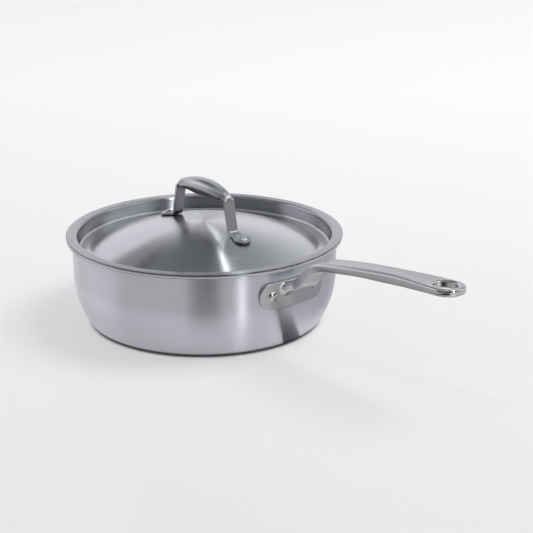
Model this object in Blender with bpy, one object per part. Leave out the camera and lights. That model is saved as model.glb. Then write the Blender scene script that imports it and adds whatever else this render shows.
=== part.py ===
"""Saucier with lid: a clad pan with a cast handle, and a domed lid with a strap handle.

The frame is +Z up with the origin at the centre of the pan's base, and the pan handle
points along +X. Lengths are in metres.
"""

import math

import bmesh
import bpy

MM = 0.001

# How finely round shapes are cut
TURN_STEPS = 48
RIVET_STEPS = 16
BORE_STEPS = 16
HANG_HOLE_STEPS = 24
TIP_STEPS = 6
END_TURN = 80.0

# Clearances
SEAT_GAP = 0.3 * MM
PLY_GAP = 0.1 * MM
RIVET_FIT = 0.3 * MM

# Pan
LIP_RADIUS = 127.0 * MM
LIP_FLARE = 5.25 * MM
LIP_BEND = 2.2 * MM
PAN_HEIGHT = 81.1 * MM
BELLY_RADIUS = 79.0 * MM
BELLY_TURN = 32.0
CORNER_RADIUS = 10.0 * MM
OUTER_PLY = 0.5 * MM
CORE_PLY = 1.5 * MM
INNER_PLY = 0.5 * MM

# Pan handle: flange
FLANGE_HEIGHT = 24.6 * MM
FLANGE_THICKNESS = 2.6 * MM
FLANGE_BELOW_LIP = 25.0 * MM
RIVET_SPACING = 49.6 * MM
RIVET_SHANK = 6.4 * MM
PAN_RIVET_OUTER_HEAD = 9.0 * MM
PAN_RIVET_INNER_HEAD = 12.5 * MM
PAN_RIVET_OUTER_RISE = 1.8 * MM
PAN_RIVET_INNER_RISE = 2.2 * MM

# Pan handle: neck and grip, along the line of the top face
HANDLE_LENGTH = 185.5 * MM
NECK_ROOT_BELOW_LIP = 15.2 * MM
NECK_ROOT_BEND = 14.0 * MM
NECK_SLOPE = 43.0
NECK_LENGTH = 23.0 * MM
GRIP_BEND = 28.0 * MM
GRIP_START_SLOPE = 10.5
GRIP_END_SLOPE = 1.5
ROOT_WIDTH = 28.0 * MM
NECK_WIDTH = 22.5 * MM
GRIP_WIDTH = 25.0 * MM
WAIST_WIDTH = 23.5 * MM
TIP_WIDTH = 29.2 * MM
KNEE_TO_WIDE_GRIP = 44.0 * MM
KNEE_TO_WAIST = 91.0 * MM
ROOT_THICKNESS = 9.0 * MM
NECK_THICKNESS = 6.4 * MM
KNEE_THICKNESS = 7.6 * MM
GRIP_THICKNESS = 6.2 * MM
SWELL_THICKNESS = 7.3 * MM
TIP_THICKNESS = 5.8 * MM
KNEE_TO_THIN_GRIP = 22.0 * MM
THIN_GRIP_LENGTH = 30.0 * MM
GRIP_EDGE_ROUND = 2.0 * MM
GRIP_RIM = 4.0 * MM
GRIP_DISH = 0.8 * MM
HANG_HOLE_LENGTH = 22.0 * MM
HANG_HOLE_WIDTH = 17.0 * MM
HANG_HOLE_TO_TIP = 16.7 * MM

# Lid
LID_OVERHANG = 0.5 * MM
LID_SHEET = 1.0 * MM
LID_FIT = 1.05 * MM
LID_FOLD = 2.5 * MM
LID_DEPTH = 14.1 * MM
LID_FILLET = 3.0 * MM
DOME_RISE = 9.2 * MM
DOME_BLEND = 9.0 * MM
GROOVE_FLAT = 6.6 * MM
LID_TURN = -1.5

# Lid handle
LID_RIVET_SPACING = 109.4 * MM
LID_HANDLE_RISE = 49.8 * MM
ARCH_RADIUS = 88.0 * MM
ARCH_WIDTH = 20.0 * MM
ARCH_CROWN = 4.1 * MM
ARCH_SIDE = 9.8 * MM
ARCH_EDGE_ROUND = 1.2 * MM
ARCH_BELLY_ROUND = 4.5 * MM
SHOULDER_BEND = 10.5 * MM
LEG_FOOT_SPAN = 85.4 * MM
LEG_LEAN = 11.3
LEG_WIDTH = 10.4 * MM
LEG_THICKNESS = 3.2 * MM
LEG_EDGE_ROUND = 0.5 * MM
FOOT_WIDTH = 15.8 * MM
FOOT_THICKNESS = 2.4 * MM
FOOT_BEND = 3.5 * MM
LID_RIVET_TOP_HEAD = 8.6 * MM
LID_RIVET_LOWER_HEAD = 12.0 * MM
LID_RIVET_TOP_RISE = 1.8 * MM
LID_RIVET_LOWER_RISE = 2.0 * MM

# Sizes that follow from those above
WALL_RADIUS = LIP_RADIUS - LIP_FLARE
PAN_WALL = OUTER_PLY + CORE_PLY + INNER_PLY + 2 * PLY_GAP
PAN_INNER_RADIUS = WALL_RADIUS - PAN_WALL
FLANGE_INNER_RADIUS = WALL_RADIUS + SEAT_GAP
FLANGE_OUTER_RADIUS = FLANGE_INNER_RADIUS + FLANGE_THICKNESS
FLANGE_Z = PAN_HEIGHT - FLANGE_BELOW_LIP
HANDLE_REACH = LIP_RADIUS + HANDLE_LENGTH
LID_RADIUS = LIP_RADIUS + LID_OVERHANG
LID_TOP = PAN_HEIGHT + SEAT_GAP + LID_SHEET
LID_WALL_RADIUS = PAN_INNER_RADIUS - LID_FIT - LID_SHEET
DOME_FOOT = LID_WALL_RADIUS - LID_FILLET - GROOVE_FLAT
DOME_HEIGHT = DOME_RISE + LID_DEPTH
DOME_RADIUS = (DOME_FOOT ** 2 + DOME_HEIGHT ** 2) / (2 * DOME_HEIGHT) - DOME_BLEND
DOME_TURN = math.degrees(math.asin(DOME_FOOT / (DOME_RADIUS + DOME_BLEND)))
DOME_CENTRE_Z = LID_TOP + DOME_RISE - DOME_RADIUS
ARCH_CENTRE_Z = LID_TOP + LID_HANDLE_RISE - ARCH_RADIUS

STEEL = (0.62, 0.62, 0.64)
ALUMINIUM = (0.78, 0.79, 0.80)


def clear_scene():
    """Removes whatever the scene holds."""
    for item in list(bpy.data.objects):
        bpy.data.objects.remove(item, do_unlink=True)


def metal(name, colour, roughness):
    """A metal finish of one colour and roughness."""
    material = bpy.data.materials.new(name)
    material.use_nodes = True
    shader = material.node_tree.nodes["Principled BSDF"]
    shader.inputs["Base Color"].default_value = (*colour, 1.0)
    shader.inputs["Metallic"].default_value = 1.0
    shader.inputs["Roughness"].default_value = roughness
    return material


def add_object(name, mesh, material=None):
    """Puts a mesh into the scene under its name."""
    item = bpy.data.objects.new(name, mesh)
    bpy.context.scene.collection.objects.link(item)
    if material:
        mesh.materials.append(material)
    return item


def make_guide(item):
    """Marks an object as a cutter or a half that another object takes in."""
    item.hide_render = True
    item.display_type = "WIRE"
    return item


def arc(centre, radius, start, end, steps):
    """Points on a circle about centre, from one angle in degrees to another."""
    points = []
    for step in range(steps + 1):
        angle = math.radians(start + (end - start) * step / steps)
        points.append((centre[0] + radius * math.cos(angle), centre[1] + radius * math.sin(angle)))
    return points


def turned(name, outline, material, steps):
    """A solid turned about Z from an outline of (radius, height) points.

    The outline runs from the top of the axis down the outer side to the axis again.
    """
    mesh = bpy.data.meshes.new(name)
    edges = [(i, i + 1) for i in range(len(outline) - 1)]
    mesh.from_pydata([(r, 0.0, z) for r, z in outline], edges, [])
    item = add_object(name, mesh, material)
    screw = item.modifiers.new("turn", "SCREW")
    screw.axis = "Z"
    screw.steps = steps
    screw.render_steps = steps
    screw.use_merge_vertices = True
    screw.merge_threshold = 0.000001
    screw.use_smooth_shade = True
    return item


def lofted(name, rings, material, sharp=40.0):
    """A closed solid through rings of equally many points, with a flat cap at each end."""
    mesh = bpy.data.meshes.new(name)
    shape = bmesh.new()
    loops = [[shape.verts.new(point) for point in ring] for ring in rings]
    count = len(rings[0])
    for near, far in zip(loops, loops[1:]):
        for i in range(count):
            j = (i + 1) % count
            shape.faces.new((near[i], near[j], far[j], far[i]))
    shape.faces.new(list(reversed(loops[0])))
    shape.faces.new(loops[-1])
    bmesh.ops.recalc_face_normals(shape, faces=shape.faces)
    shape.to_mesh(mesh)
    shape.free()
    mesh.shade_smooth()
    mesh.set_sharp_from_angle(angle=math.radians(sharp))
    return add_object(name, mesh, material)


def boolean(item, operand, operation):
    """Joins a guide to an object, or cuts it out of the object."""
    modifier = item.modifiers.new(operand.name, "BOOLEAN")
    modifier.operation = operation
    modifier.object = operand
    modifier.solver = "EXACT"


def bar(name, radius_x, radius_y, half_length, steps):
    """A straight round or oval bar along Z, centred on its origin, to cut holes with."""
    rings = []
    for z in (-half_length, half_length):
        ring = []
        for step in range(steps):
            angle = 2 * math.pi * step / steps
            ring.append((radius_x * math.cos(angle), radius_y * math.sin(angle), z))
        rings.append(ring)
    return make_guide(lofted(name, rings, None))


# The pan


def pan_face(depth):
    """The pan's section at a depth inward from its outer face, from the axis to the lip's edge."""
    belly = WALL_RADIUS - BELLY_RADIUS
    run = BELLY_RADIUS - CORNER_RADIUS
    turn = math.radians(BELLY_TURN)
    corner_centre = (belly + run * math.cos(turn), CORNER_RADIUS)
    belly_centre = (belly, CORNER_RADIUS + run * math.sin(turn))
    lip_centre = (WALL_RADIUS + LIP_BEND, PAN_HEIGHT - PAN_WALL - LIP_BEND)
    points = [(0.0, depth)]
    points += arc(corner_centre, CORNER_RADIUS - depth, -90, -BELLY_TURN, 4)
    points += arc(belly_centre, BELLY_RADIUS - depth, -BELLY_TURN, 0, 4)[1:]
    points += arc(lip_centre, LIP_BEND + depth, 180, 90, 3)
    points.append((LIP_RADIUS, PAN_HEIGHT - PAN_WALL + depth))
    return points


def pan_ply(name, outer_depth, thickness, material):
    """One sheet of the clad pan, between two depths from the outer face."""
    outline = pan_face(outer_depth + thickness) + pan_face(outer_depth)[::-1]
    return turned(name, outline, material, TURN_STEPS)


def rivet(name, heads, material):
    """A rivet along Z: its upper head's underside is at z = upper, its lower head's at z = lower.

    heads holds (diameter, rise, seat height) of the upper and of the lower head.
    """
    (top_width, top_rise, upper), (low_width, low_rise, lower) = heads
    outline = domed(top_width, top_rise, upper, 1)
    outline += [(RIVET_SHANK / 2, upper), (RIVET_SHANK / 2, lower)]
    outline += domed(low_width, low_rise, lower, -1)[::-1]
    return turned(name, outline, material, RIVET_STEPS)


def domed(width, rise, seat, side):
    """A rivet head's round top, from the axis to its rim."""
    half = width / 2
    radius = (half * half + rise * rise) / (2 * rise)
    reach = math.degrees(math.asin(half / radius))
    centre = (0.0, seat + side * (rise - radius))
    return arc(centre, radius, side * 90, side * (90 - reach), 3)


def pan_rivet_places():
    """Each pan rivet's name end and its turn about Z from the handle, in radians."""
    turn = RIVET_SPACING / 2 / FLANGE_OUTER_RADIUS
    return (("left", -turn), ("right", turn))


def build_pan(steel, core_metal):
    """The three plies, with holes for the rivets, and the rivets."""
    core_depth = OUTER_PLY + PLY_GAP
    inner_depth = core_depth + CORE_PLY + PLY_GAP
    plies = [
        pan_ply("pan_outer_ply", 0.0, OUTER_PLY, steel),
        pan_ply("pan_core", core_depth, CORE_PLY, core_metal),
        pan_ply("pan_inner_ply", inner_depth, INNER_PLY, steel),
    ]
    facet_radius = PAN_INNER_RADIUS * math.cos(math.pi / TURN_STEPS)
    head_sag = PAN_RIVET_INNER_HEAD ** 2 / (8 * PAN_INNER_RADIUS)
    inner_seat = facet_radius - head_sag - SEAT_GAP
    outer_seat = FLANGE_OUTER_RADIUS + SEAT_GAP
    for side, turn in pan_rivet_places():
        cutter = bar("cut_pan_rivet_" + side, RIVET_SHANK / 2 + RIVET_FIT,
                     RIVET_SHANK / 2 + RIVET_FIT, 4 * PAN_WALL, BORE_STEPS)
        cutter.rotation_euler = (0.0, math.pi / 2, turn)
        middle = WALL_RADIUS - PAN_WALL / 2
        cutter.location = (middle * math.cos(turn), middle * math.sin(turn), FLANGE_Z)
        for ply in plies:
            boolean(ply, cutter, "DIFFERENCE")
        heads = (
            (PAN_RIVET_OUTER_HEAD, PAN_RIVET_OUTER_RISE, outer_seat),
            (PAN_RIVET_INNER_HEAD, PAN_RIVET_INNER_RISE, inner_seat),
        )
        item = rivet("pan_rivet_" + side, heads, metal("pan_rivet_" + side, STEEL, 0.3))
        item.rotation_euler = (0.0, math.pi / 2, turn)
        item.location = (0.0, 0.0, FLANGE_Z)


# The pan handle


def flange_rings():
    """Upright sections of the curved flange, from its left round end to its right one."""
    end = FLANGE_HEIGHT / 2
    straight = RIVET_SPACING / 2
    right_end = []
    steps = 4
    for step in range(steps):
        reach = math.radians(END_TURN * (step + 1) / steps)
        right_end.append((straight + end * math.sin(reach), end * math.cos(reach)))
    places = [(-along, half) for along, half in reversed(right_end)]
    columns = 8
    for column in range(columns + 1):
        places.append((straight * (2 * column / columns - 1), end))
    places += right_end
    rings = []
    for along, half in places:
        turn = along / FLANGE_OUTER_RADIUS
        ring = []
        for radius, z in (
            (FLANGE_OUTER_RADIUS, half),
            (FLANGE_INNER_RADIUS, half),
            (FLANGE_INNER_RADIUS, -half),
            (FLANGE_OUTER_RADIUS, -half),
        ):
            ring.append((radius * math.cos(turn), radius * math.sin(turn), FLANGE_Z + z))
        rings.append(ring)
    return rings


def blend(stations, x):
    """A smooth value at x between (place, value) stations."""
    if x <= stations[0][0]:
        return stations[0][1]
    for (x0, value0), (x1, value1) in zip(stations, stations[1:]):
        if x <= x1:
            share = (x - x0) / (x1 - x0)
            share = share * share * (3 - 2 * share)
            return value0 + (value1 - value0) * share
    return stations[-1][1]


def handle_line():
    """The handle's top centre line as (x, z, slope in degrees) points, from flange to tip."""
    x = FLANGE_INNER_RADIUS + FLANGE_THICKNESS / 3
    z = PAN_HEIGHT - NECK_ROOT_BELOW_LIP
    line = []
    for px, pz in arc((x, z + NECK_ROOT_BEND), NECK_ROOT_BEND, -90, -90 + NECK_SLOPE, 4):
        slope = math.degrees(math.atan2(px - x, z + NECK_ROOT_BEND - pz))
        line.append((px, pz, slope))
    x, z, slope = line[-1]
    steep = math.radians(NECK_SLOPE)
    for share in (0.35, 0.7, 1.0):
        run = share * NECK_LENGTH
        line.append((x + run * math.cos(steep), z + run * math.sin(steep), NECK_SLOPE))
    line += bend_down(line[-1], GRIP_BEND, GRIP_START_SLOPE, 4)
    start = math.sin(math.radians(GRIP_START_SLOPE))
    end = math.sin(math.radians(GRIP_END_SLOPE))
    radius = (HANDLE_REACH - line[-1][0]) / (start - end)
    line += bend_down(line[-1], radius, GRIP_END_SLOPE, 28)
    return line


def bend_down(place, radius, end_slope, steps):
    """Points that follow place on an arc whose slope falls to end_slope."""
    x, z, slope = place
    centre = (x + radius * math.sin(math.radians(slope)), z - radius * math.cos(math.radians(slope)))
    points = []
    for step in range(1, steps + 1):
        angle = slope + (end_slope - slope) * step / steps
        turn = math.radians(angle)
        points.append((centre[0] - radius * math.sin(turn), centre[1] + radius * math.cos(turn), angle))
    return points


def handle_section(place, width, thickness, dish):
    """One ring of the handle: a bar with round edges and a shallow dish on top, square to the line."""
    x, z, slope = place
    steep = math.radians(slope)
    half = width / 2
    edge = min(GRIP_EDGE_ROUND, half / 2, thickness / 2.5)
    dish_half = max(half - GRIP_RIM, half / 2)
    outline = []
    for share in (0.0, 0.55, 1.0):
        outline.append((share * dish_half, -dish * (1 - share ** 2)))
    outline += arc((half - edge, -edge), edge, 90, 0, 3)
    outline += arc((half - edge, edge - thickness), edge, 0, -90, 3)
    outline.append((0.0, -thickness))
    ring = outline + [(-across, height) for across, height in outline[-2:0:-1]]
    points = []
    for across, height in ring:
        points.append((x - height * math.sin(steep), across, z + height * math.cos(steep)))
    return points


def handle_rings():
    """The neck's and grip's sections, ending in a round tip."""
    line = handle_line()
    steep = math.radians(NECK_SLOPE)
    flange_x = line[0][0]
    neck_x = flange_x + NECK_ROOT_BEND / 2
    knee_x = flange_x + NECK_ROOT_BEND * math.sin(steep) + NECK_LENGTH * math.cos(steep)
    tip_centre = HANDLE_REACH - TIP_WIDTH / 2
    widths = (
        (flange_x, ROOT_WIDTH),
        (neck_x, NECK_WIDTH),
        (knee_x, NECK_WIDTH),
        (knee_x + KNEE_TO_WIDE_GRIP, GRIP_WIDTH),
        (knee_x + KNEE_TO_WAIST, WAIST_WIDTH),
        (tip_centre, TIP_WIDTH),
    )
    thicknesses = (
        (flange_x, ROOT_THICKNESS),
        (neck_x, NECK_THICKNESS),
        (knee_x, KNEE_THICKNESS),
        (knee_x + KNEE_TO_THIN_GRIP, GRIP_THICKNESS),
        (knee_x + KNEE_TO_THIN_GRIP + THIN_GRIP_LENGTH, GRIP_THICKNESS),
        (knee_x + KNEE_TO_WAIST, SWELL_THICKNESS),
        (tip_centre, TIP_THICKNESS),
    )
    dishes = ((knee_x, 0.0), (knee_x + GRIP_BEND / 2, GRIP_DISH))
    rings = []
    for place in line:
        x = place[0]
        if x >= tip_centre:
            break
        width = blend(widths, x)
        rings.append(handle_section(place, width, blend(thicknesses, x), blend(dishes, x)))
    for step in range(TIP_STEPS + 1):
        reach = math.radians(END_TURN * step / TIP_STEPS)
        x = tip_centre + TIP_WIDTH / 2 * math.sin(reach)
        place = place_on(line, x)
        width = TIP_WIDTH * math.cos(reach)
        thickness = TIP_THICKNESS * (1 - math.sin(reach) ** 8) ** 0.25
        lowered = (place[0], place[1] - (TIP_THICKNESS - thickness) / 2, place[2])
        rings.append(handle_section(lowered, width, thickness, GRIP_DISH * math.cos(reach)))
    return rings


def place_on(line, x):
    """The centre line's point and slope at x."""
    for (x0, z0, slope0), (x1, z1, slope1) in zip(line, line[1:]):
        if x <= x1:
            share = (x - x0) / (x1 - x0)
            return (x, z0 + (z1 - z0) * share, slope0 + (slope1 - slope0) * share)
    return line[-1]


def build_pan_handle(steel):
    """The cast handle: neck and grip joined to the flange, then drilled."""
    handle = lofted("pan_handle", handle_rings(), steel)
    flange = make_guide(lofted("flange_guide", flange_rings(), None))
    boolean(handle, flange, "UNION")
    for side, turn in pan_rivet_places():
        radius = RIVET_SHANK / 2 + RIVET_FIT
        cutter = bar("cut_flange_" + side, radius, radius, 2 * FLANGE_THICKNESS, BORE_STEPS)
        cutter.rotation_euler = (0.0, math.pi / 2, turn)
        middle = FLANGE_INNER_RADIUS + FLANGE_THICKNESS / 2
        cutter.location = (middle * math.cos(turn), middle * math.sin(turn), FLANGE_Z)
        boolean(handle, cutter, "DIFFERENCE")
    hole = place_on(handle_line(), HANDLE_REACH - HANG_HOLE_TO_TIP)
    cutter = bar("cut_hang_hole", HANG_HOLE_LENGTH / 2, HANG_HOLE_WIDTH / 2, 2 * TIP_THICKNESS,
                 HANG_HOLE_STEPS)
    cutter.location = (hole[0], 0.0, hole[1])
    cutter.rotation_euler = (0.0, math.radians(-hole[2]), 0.0)
    boolean(handle, cutter, "DIFFERENCE")


# The lid


def lid_face(depth):
    """The lid's section at a depth below its top face, from the axis to the flange's edge."""
    turn = math.radians(DOME_TURN)
    reach = DOME_RADIUS + DOME_BLEND
    blend_centre = (reach * math.sin(turn), DOME_CENTRE_Z + reach * math.cos(turn))
    fillet_centre = (LID_WALL_RADIUS - LID_FILLET, LID_TOP - LID_DEPTH + LID_FILLET)
    fold_centre = (LID_WALL_RADIUS + LID_FOLD, LID_TOP - LID_FOLD)
    points = arc((0.0, DOME_CENTRE_Z), DOME_RADIUS - depth, 90, 90 - DOME_TURN, 6)
    points += arc(blend_centre, DOME_BLEND + depth, 270 - DOME_TURN, 270, 2)[1:]
    points += arc(fillet_centre, LID_FILLET + depth, 270, 360, 3)
    points += arc(fold_centre, LID_FOLD - depth, 180, 90, 3)
    points.append((LID_RADIUS, LID_TOP - depth))
    return points


def dome_normal_turn():
    """The dome's tilt from level at the lid rivets, in radians."""
    return math.asin(LID_RIVET_SPACING / 2 / DOME_RADIUS)


def on_dome(height, side):
    """The point a height above the dome's top face along the rivet axis of one side."""
    tilt = dome_normal_turn()
    reach = DOME_RADIUS + height
    return (side * reach * math.sin(tilt), DOME_CENTRE_Z + reach * math.cos(tilt))


def build_lid(steel, lift):
    """The lid's sheet with its rivet holes, and the two rivets."""
    lid = turned("lid", lid_face(0.0) + lid_face(LID_SHEET)[::-1], steel, TURN_STEPS)
    hang(lid, lift)
    for name, side in (("left", -1), ("right", 1)):
        tilt = side * dome_normal_turn()
        radius = RIVET_SHANK / 2 + RIVET_FIT
        cutter = bar("cut_lid_rivet_" + name, radius, radius, 4 * LID_SHEET, BORE_STEPS)
        x, z = on_dome(0.0, side)
        cutter.location = (x, 0.0, z - LID_TOP)
        cutter.rotation_euler = (0.0, tilt, 0.0)
        cutter.parent = lift
        boolean(lid, cutter, "DIFFERENCE")
        heads = (
            (LID_RIVET_TOP_HEAD, LID_RIVET_TOP_RISE, FOOT_THICKNESS + 2 * SEAT_GAP),
            (LID_RIVET_LOWER_HEAD, LID_RIVET_LOWER_RISE, -LID_SHEET - 2 * SEAT_GAP),
        )
        item = rivet("lid_rivet_" + name, heads, metal("lid_rivet_" + name, STEEL, 0.3))
        item.location = (x, 0.0, z - LID_TOP)
        item.rotation_euler = (0.0, tilt, 0.0)
        item.parent = lift


def hang(item, lift):
    """Hangs an object that is modelled in the pan's frame from the lid's lifting axis."""
    item.parent = lift
    item.location = (0.0, 0.0, -LID_TOP)


# The lid handle


def foot_end_and_bend():
    """The right foot's end and the corner between foot and leg, on the handle's outer line."""
    tilt = dome_normal_turn()
    foot_x, foot_z = on_dome(SEAT_GAP + FOOT_THICKNESS, 1)
    reach = FOOT_WIDTH / 2
    foot_end = (foot_x + reach * math.cos(tilt), foot_z - reach * math.sin(tilt))
    bend_x = LEG_FOOT_SPAN / 2
    bend = (bend_x, foot_z + (foot_x - bend_x) * math.tan(tilt))
    return foot_end, bend


def rounded_corner(before, corner, after_direction, radius, steps):
    """Points (x, z, direction) round a corner between two straight lines, direction in radians."""
    into = math.atan2(corner[1] - before[1], corner[0] - before[0])
    turn = after_direction - into
    inset = radius * math.tan(abs(turn) / 2)
    start = (corner[0] - inset * math.cos(into), corner[1] - inset * math.sin(into))
    side = math.copysign(1, turn)
    centre = (start[0] - side * radius * math.sin(into), start[1] + side * radius * math.cos(into))
    points = []
    for step in range(steps + 1):
        angle = into + turn * step / steps
        x = centre[0] + side * radius * math.sin(angle)
        z = centre[1] - side * radius * math.cos(angle)
        points.append((x, z, angle))
    return points


def shoulder_centre(bend):
    """The centre of the bend that touches the leg's outer line and the arch's ridge from inside."""
    lean = math.radians(LEG_LEAN)
    x = bend[0] - SHOULDER_BEND * math.cos(lean)
    z = bend[1] - SHOULDER_BEND * math.sin(lean) - ARCH_CENTRE_Z
    along = z * math.cos(lean) - x * math.sin(lean)
    short = (ARCH_RADIUS - SHOULDER_BEND) ** 2 - x * x - z * z
    run = math.sqrt(along * along + short) - along
    return (x - run * math.sin(lean), z + run * math.cos(lean) + ARCH_CENTRE_Z)


def ridge_places(bend):
    """The arch's ridge as (x, z, direction) points, from the leg's top to the middle."""
    centre = shoulder_centre(bend)
    lean = math.radians(LEG_LEAN)
    touch = math.atan2(centre[1] - ARCH_CENTRE_Z, centre[0])
    steps = 7
    places = []
    for step in range(steps + 1):
        turn = lean + (touch - lean) * step / steps
        x = centre[0] + SHOULDER_BEND * math.cos(turn)
        z = centre[1] + SHOULDER_BEND * math.sin(turn)
        places.append((x, z, turn + math.pi / 2))
    for step in range(1, steps + 1):
        turn = touch + (math.pi / 2 - touch) * step / steps
        x = ARCH_RADIUS * math.cos(turn)
        z = ARCH_CENTRE_Z + ARCH_RADIUS * math.sin(turn)
        places.append((x, z, turn + math.pi / 2))
    return places


def foot_station(reach, width):
    """A station on a foot, a reach outward from its rivet."""
    tilt = dome_normal_turn()
    x, z = on_dome(SEAT_GAP + FOOT_THICKNESS, 1)
    place = (x + reach * math.cos(tilt), z - reach * math.sin(tilt))
    return (*place, math.pi - tilt, width, FOOT_THICKNESS, 0.0)


def lid_handle_half():
    """Stations of the right half, from the foot's end to the arch's middle.

    A station is (x, z, direction, width, side, crown). The place is on the outer line, side
    is the height of the strap's edge, and crown is the ridge's height above that edge.
    """
    foot_end, bend = foot_end_and_bend()
    stations = []
    steps = 5
    for step in range(steps + 1):
        turn = math.radians(END_TURN * (1 - step / steps))
        stations.append(foot_station(FOOT_WIDTH / 2 * math.sin(turn), FOOT_WIDTH * math.cos(turn)))
    leg = math.pi / 2 + math.radians(LEG_LEAN)
    turned_foot = rounded_corner(foot_end, bend, leg, FOOT_BEND, steps)
    tongue = math.dist(turned_foot[0][:2], stations[-1][:2])
    for step in range(1, steps):
        share = step / steps
        taper = (1 + math.cos(math.pi * share)) / 2
        stations.append(foot_station(-tongue * share, LEG_WIDTH + (FOOT_WIDTH - LEG_WIDTH) * taper))
    for step, (x, z, direction) in enumerate(turned_foot):
        side = FOOT_THICKNESS + (LEG_THICKNESS - FOOT_THICKNESS) * step / steps
        stations.append((x, z, direction, LEG_WIDTH, side, 0.0))
    places = ridge_places(bend)
    leg_top = places[0][0]
    for x, z, direction in places:
        fullness = 1 - (x / leg_top) ** 2
        width = LEG_WIDTH + (ARCH_WIDTH - LEG_WIDTH) * fullness
        side = LEG_THICKNESS + (ARCH_SIDE - LEG_THICKNESS) * fullness ** 1.8
        crown = ARCH_CROWN * (1 - (x / leg_top) ** 20)
        stations.append((x, z, direction, width, side, crown))
    return stations


def strap_section(station):
    """A ring of the strap: a flat bar on the foot and leg, crowned and deep-bellied on the arch."""
    x, z, direction, width, side, crown = station
    half = width / 2
    share = max(0.0, (side - LEG_THICKNESS) / (ARCH_SIDE - LEG_THICKNESS))
    edge = min(LEG_EDGE_ROUND + (ARCH_EDGE_ROUND - LEG_EDGE_ROUND) * share, half / 2)
    belly = min(LEG_EDGE_ROUND + (ARCH_BELLY_ROUND - LEG_EDGE_ROUND) * share, half / 2)
    outline = []
    for across in (0.0, 0.5, 0.75, 0.9):
        outline.append((across * (half - edge), -crown * across ** 3))
    outline += arc((half - edge, -crown - edge), edge, 90, 0, 2)
    outline += arc((half - belly, belly - crown - side), belly, 0, -90, 3)
    outline.append((0.0, -crown - side))
    ring = outline + [(-across, height) for across, height in outline[-2:0:-1]]
    points = []
    for across, height in ring:
        points.append((x + height * math.sin(direction), across, z - height * math.cos(direction)))
    return points


def build_lid_handle(steel, lift):
    """The strap handle, drilled for its rivets."""
    half = lid_handle_half()
    mirrored = []
    for x, z, direction, *sizes in reversed(half[:-1]):
        mirrored.append((-x, z, 2 * math.pi - direction, *sizes))
    rings = [strap_section(station) for station in half + mirrored]
    handle = lofted("lid_handle", rings, steel)
    hang(handle, lift)
    for name, side in (("left", -1), ("right", 1)):
        radius = RIVET_SHANK / 2 + RIVET_FIT
        cutter = bar("cut_foot_" + name, radius, radius, 2 * FOOT_THICKNESS, BORE_STEPS)
        x, z = on_dome(SEAT_GAP + FOOT_THICKNESS / 2, side)
        cutter.location = (x, 0.0, z - LID_TOP)
        cutter.rotation_euler = (0.0, side * dome_normal_turn(), 0.0)
        cutter.parent = lift
        boolean(handle, cutter, "DIFFERENCE")


def main():
    clear_scene()
    brushed = metal("brushed_steel", STEEL, 0.35)
    build_pan(brushed, metal("aluminium_core", ALUMINIUM, 0.4))
    build_pan_handle(metal("cast_steel", STEEL, 0.3))
    lift = bpy.data.objects.new("lid_lift_axis", None)
    bpy.context.scene.collection.objects.link(lift)
    lift.location = (0.0, 0.0, LID_TOP)
    lift.rotation_euler = (0.0, 0.0, math.radians(LID_TURN))
    build_lid(metal("lid_steel", STEEL, 0.3), lift)
    build_lid_handle(metal("lid_handle_steel", STEEL, 0.3), lift)


main()
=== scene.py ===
"""Saucier with lid: the looks around the packed model, laid out as an add-on."""

import math

import bpy
import numpy as np
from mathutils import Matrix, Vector


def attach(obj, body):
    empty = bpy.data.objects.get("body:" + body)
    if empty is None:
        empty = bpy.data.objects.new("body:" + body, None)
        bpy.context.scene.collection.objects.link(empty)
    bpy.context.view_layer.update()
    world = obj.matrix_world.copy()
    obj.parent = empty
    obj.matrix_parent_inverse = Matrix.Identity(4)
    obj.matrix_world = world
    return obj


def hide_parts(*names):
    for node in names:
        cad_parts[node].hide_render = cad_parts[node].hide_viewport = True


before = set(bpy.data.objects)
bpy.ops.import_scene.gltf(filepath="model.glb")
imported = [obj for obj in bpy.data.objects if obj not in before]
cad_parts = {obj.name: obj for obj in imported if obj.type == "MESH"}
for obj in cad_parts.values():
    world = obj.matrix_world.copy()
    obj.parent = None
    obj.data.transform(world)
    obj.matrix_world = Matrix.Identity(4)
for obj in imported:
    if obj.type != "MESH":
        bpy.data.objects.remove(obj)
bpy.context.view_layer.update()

bl_info = {
    "name": "Saucier with lid",
    "version": (1, 0, 0),
    "blender": (4, 5, 0),
    "location": "View3D > Sidebar > Saucier",
    "description": "Builds a clad saucier with a riveted handle, a domed lid and a studio",
    "category": "Object",
}

MM = 0.001


# Sizes and looks that a user would change


def length(name, description, millimetres):
    """A length property whose default is given in millimetres."""
    return bpy.props.FloatProperty(name=name, description=description, default=millimetres * MM,
                                   unit="LENGTH", precision=5)


def angle(name, description, degrees):
    """An angle property whose default is given in degrees."""
    return bpy.props.FloatProperty(name=name, description=description,
                                   default=math.radians(degrees), unit="ROTATION")


def level(name, description, value, highest=1.0):
    """A plain number from zero to a highest value."""
    return bpy.props.FloatProperty(name=name, description=description, default=value,
                                   min=0.0, max=highest)


def colour(name, description, value):
    """A colour property."""
    return bpy.props.FloatVectorProperty(name=name, description=description, default=value,
                                         size=3, min=0.0, max=1.0, subtype="COLOR")


class PanSizes(bpy.types.PropertyGroup):
    """Sizes of the clad pan."""

    lip_radius: length("Lip radius", "Radius of the rim", 127.0)
    lip_flare: length("Lip flare", "How far the lip stands out past the wall", 5.25)
    lip_bend: length("Lip bend", "Radius between wall and lip on the outside", 2.2)
    height: length("Height", "Height of the rim over the table", 81.1)
    belly_radius: length("Belly radius", "Radius of the wall's lower curve", 79.0)
    belly_turn: angle("Belly turn", "How far the wall's lower curve turns inward", 32.0)
    corner_radius: length("Corner radius", "Radius between belly and base", 10.0)
    skin: length("Skin", "Thickness of the outer and of the inner skin", 0.5)
    core: length("Core", "Thickness of the core sheet", 1.5)
    ply_gap: length("Ply gap", "Gap between the sheets", 0.1)


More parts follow.
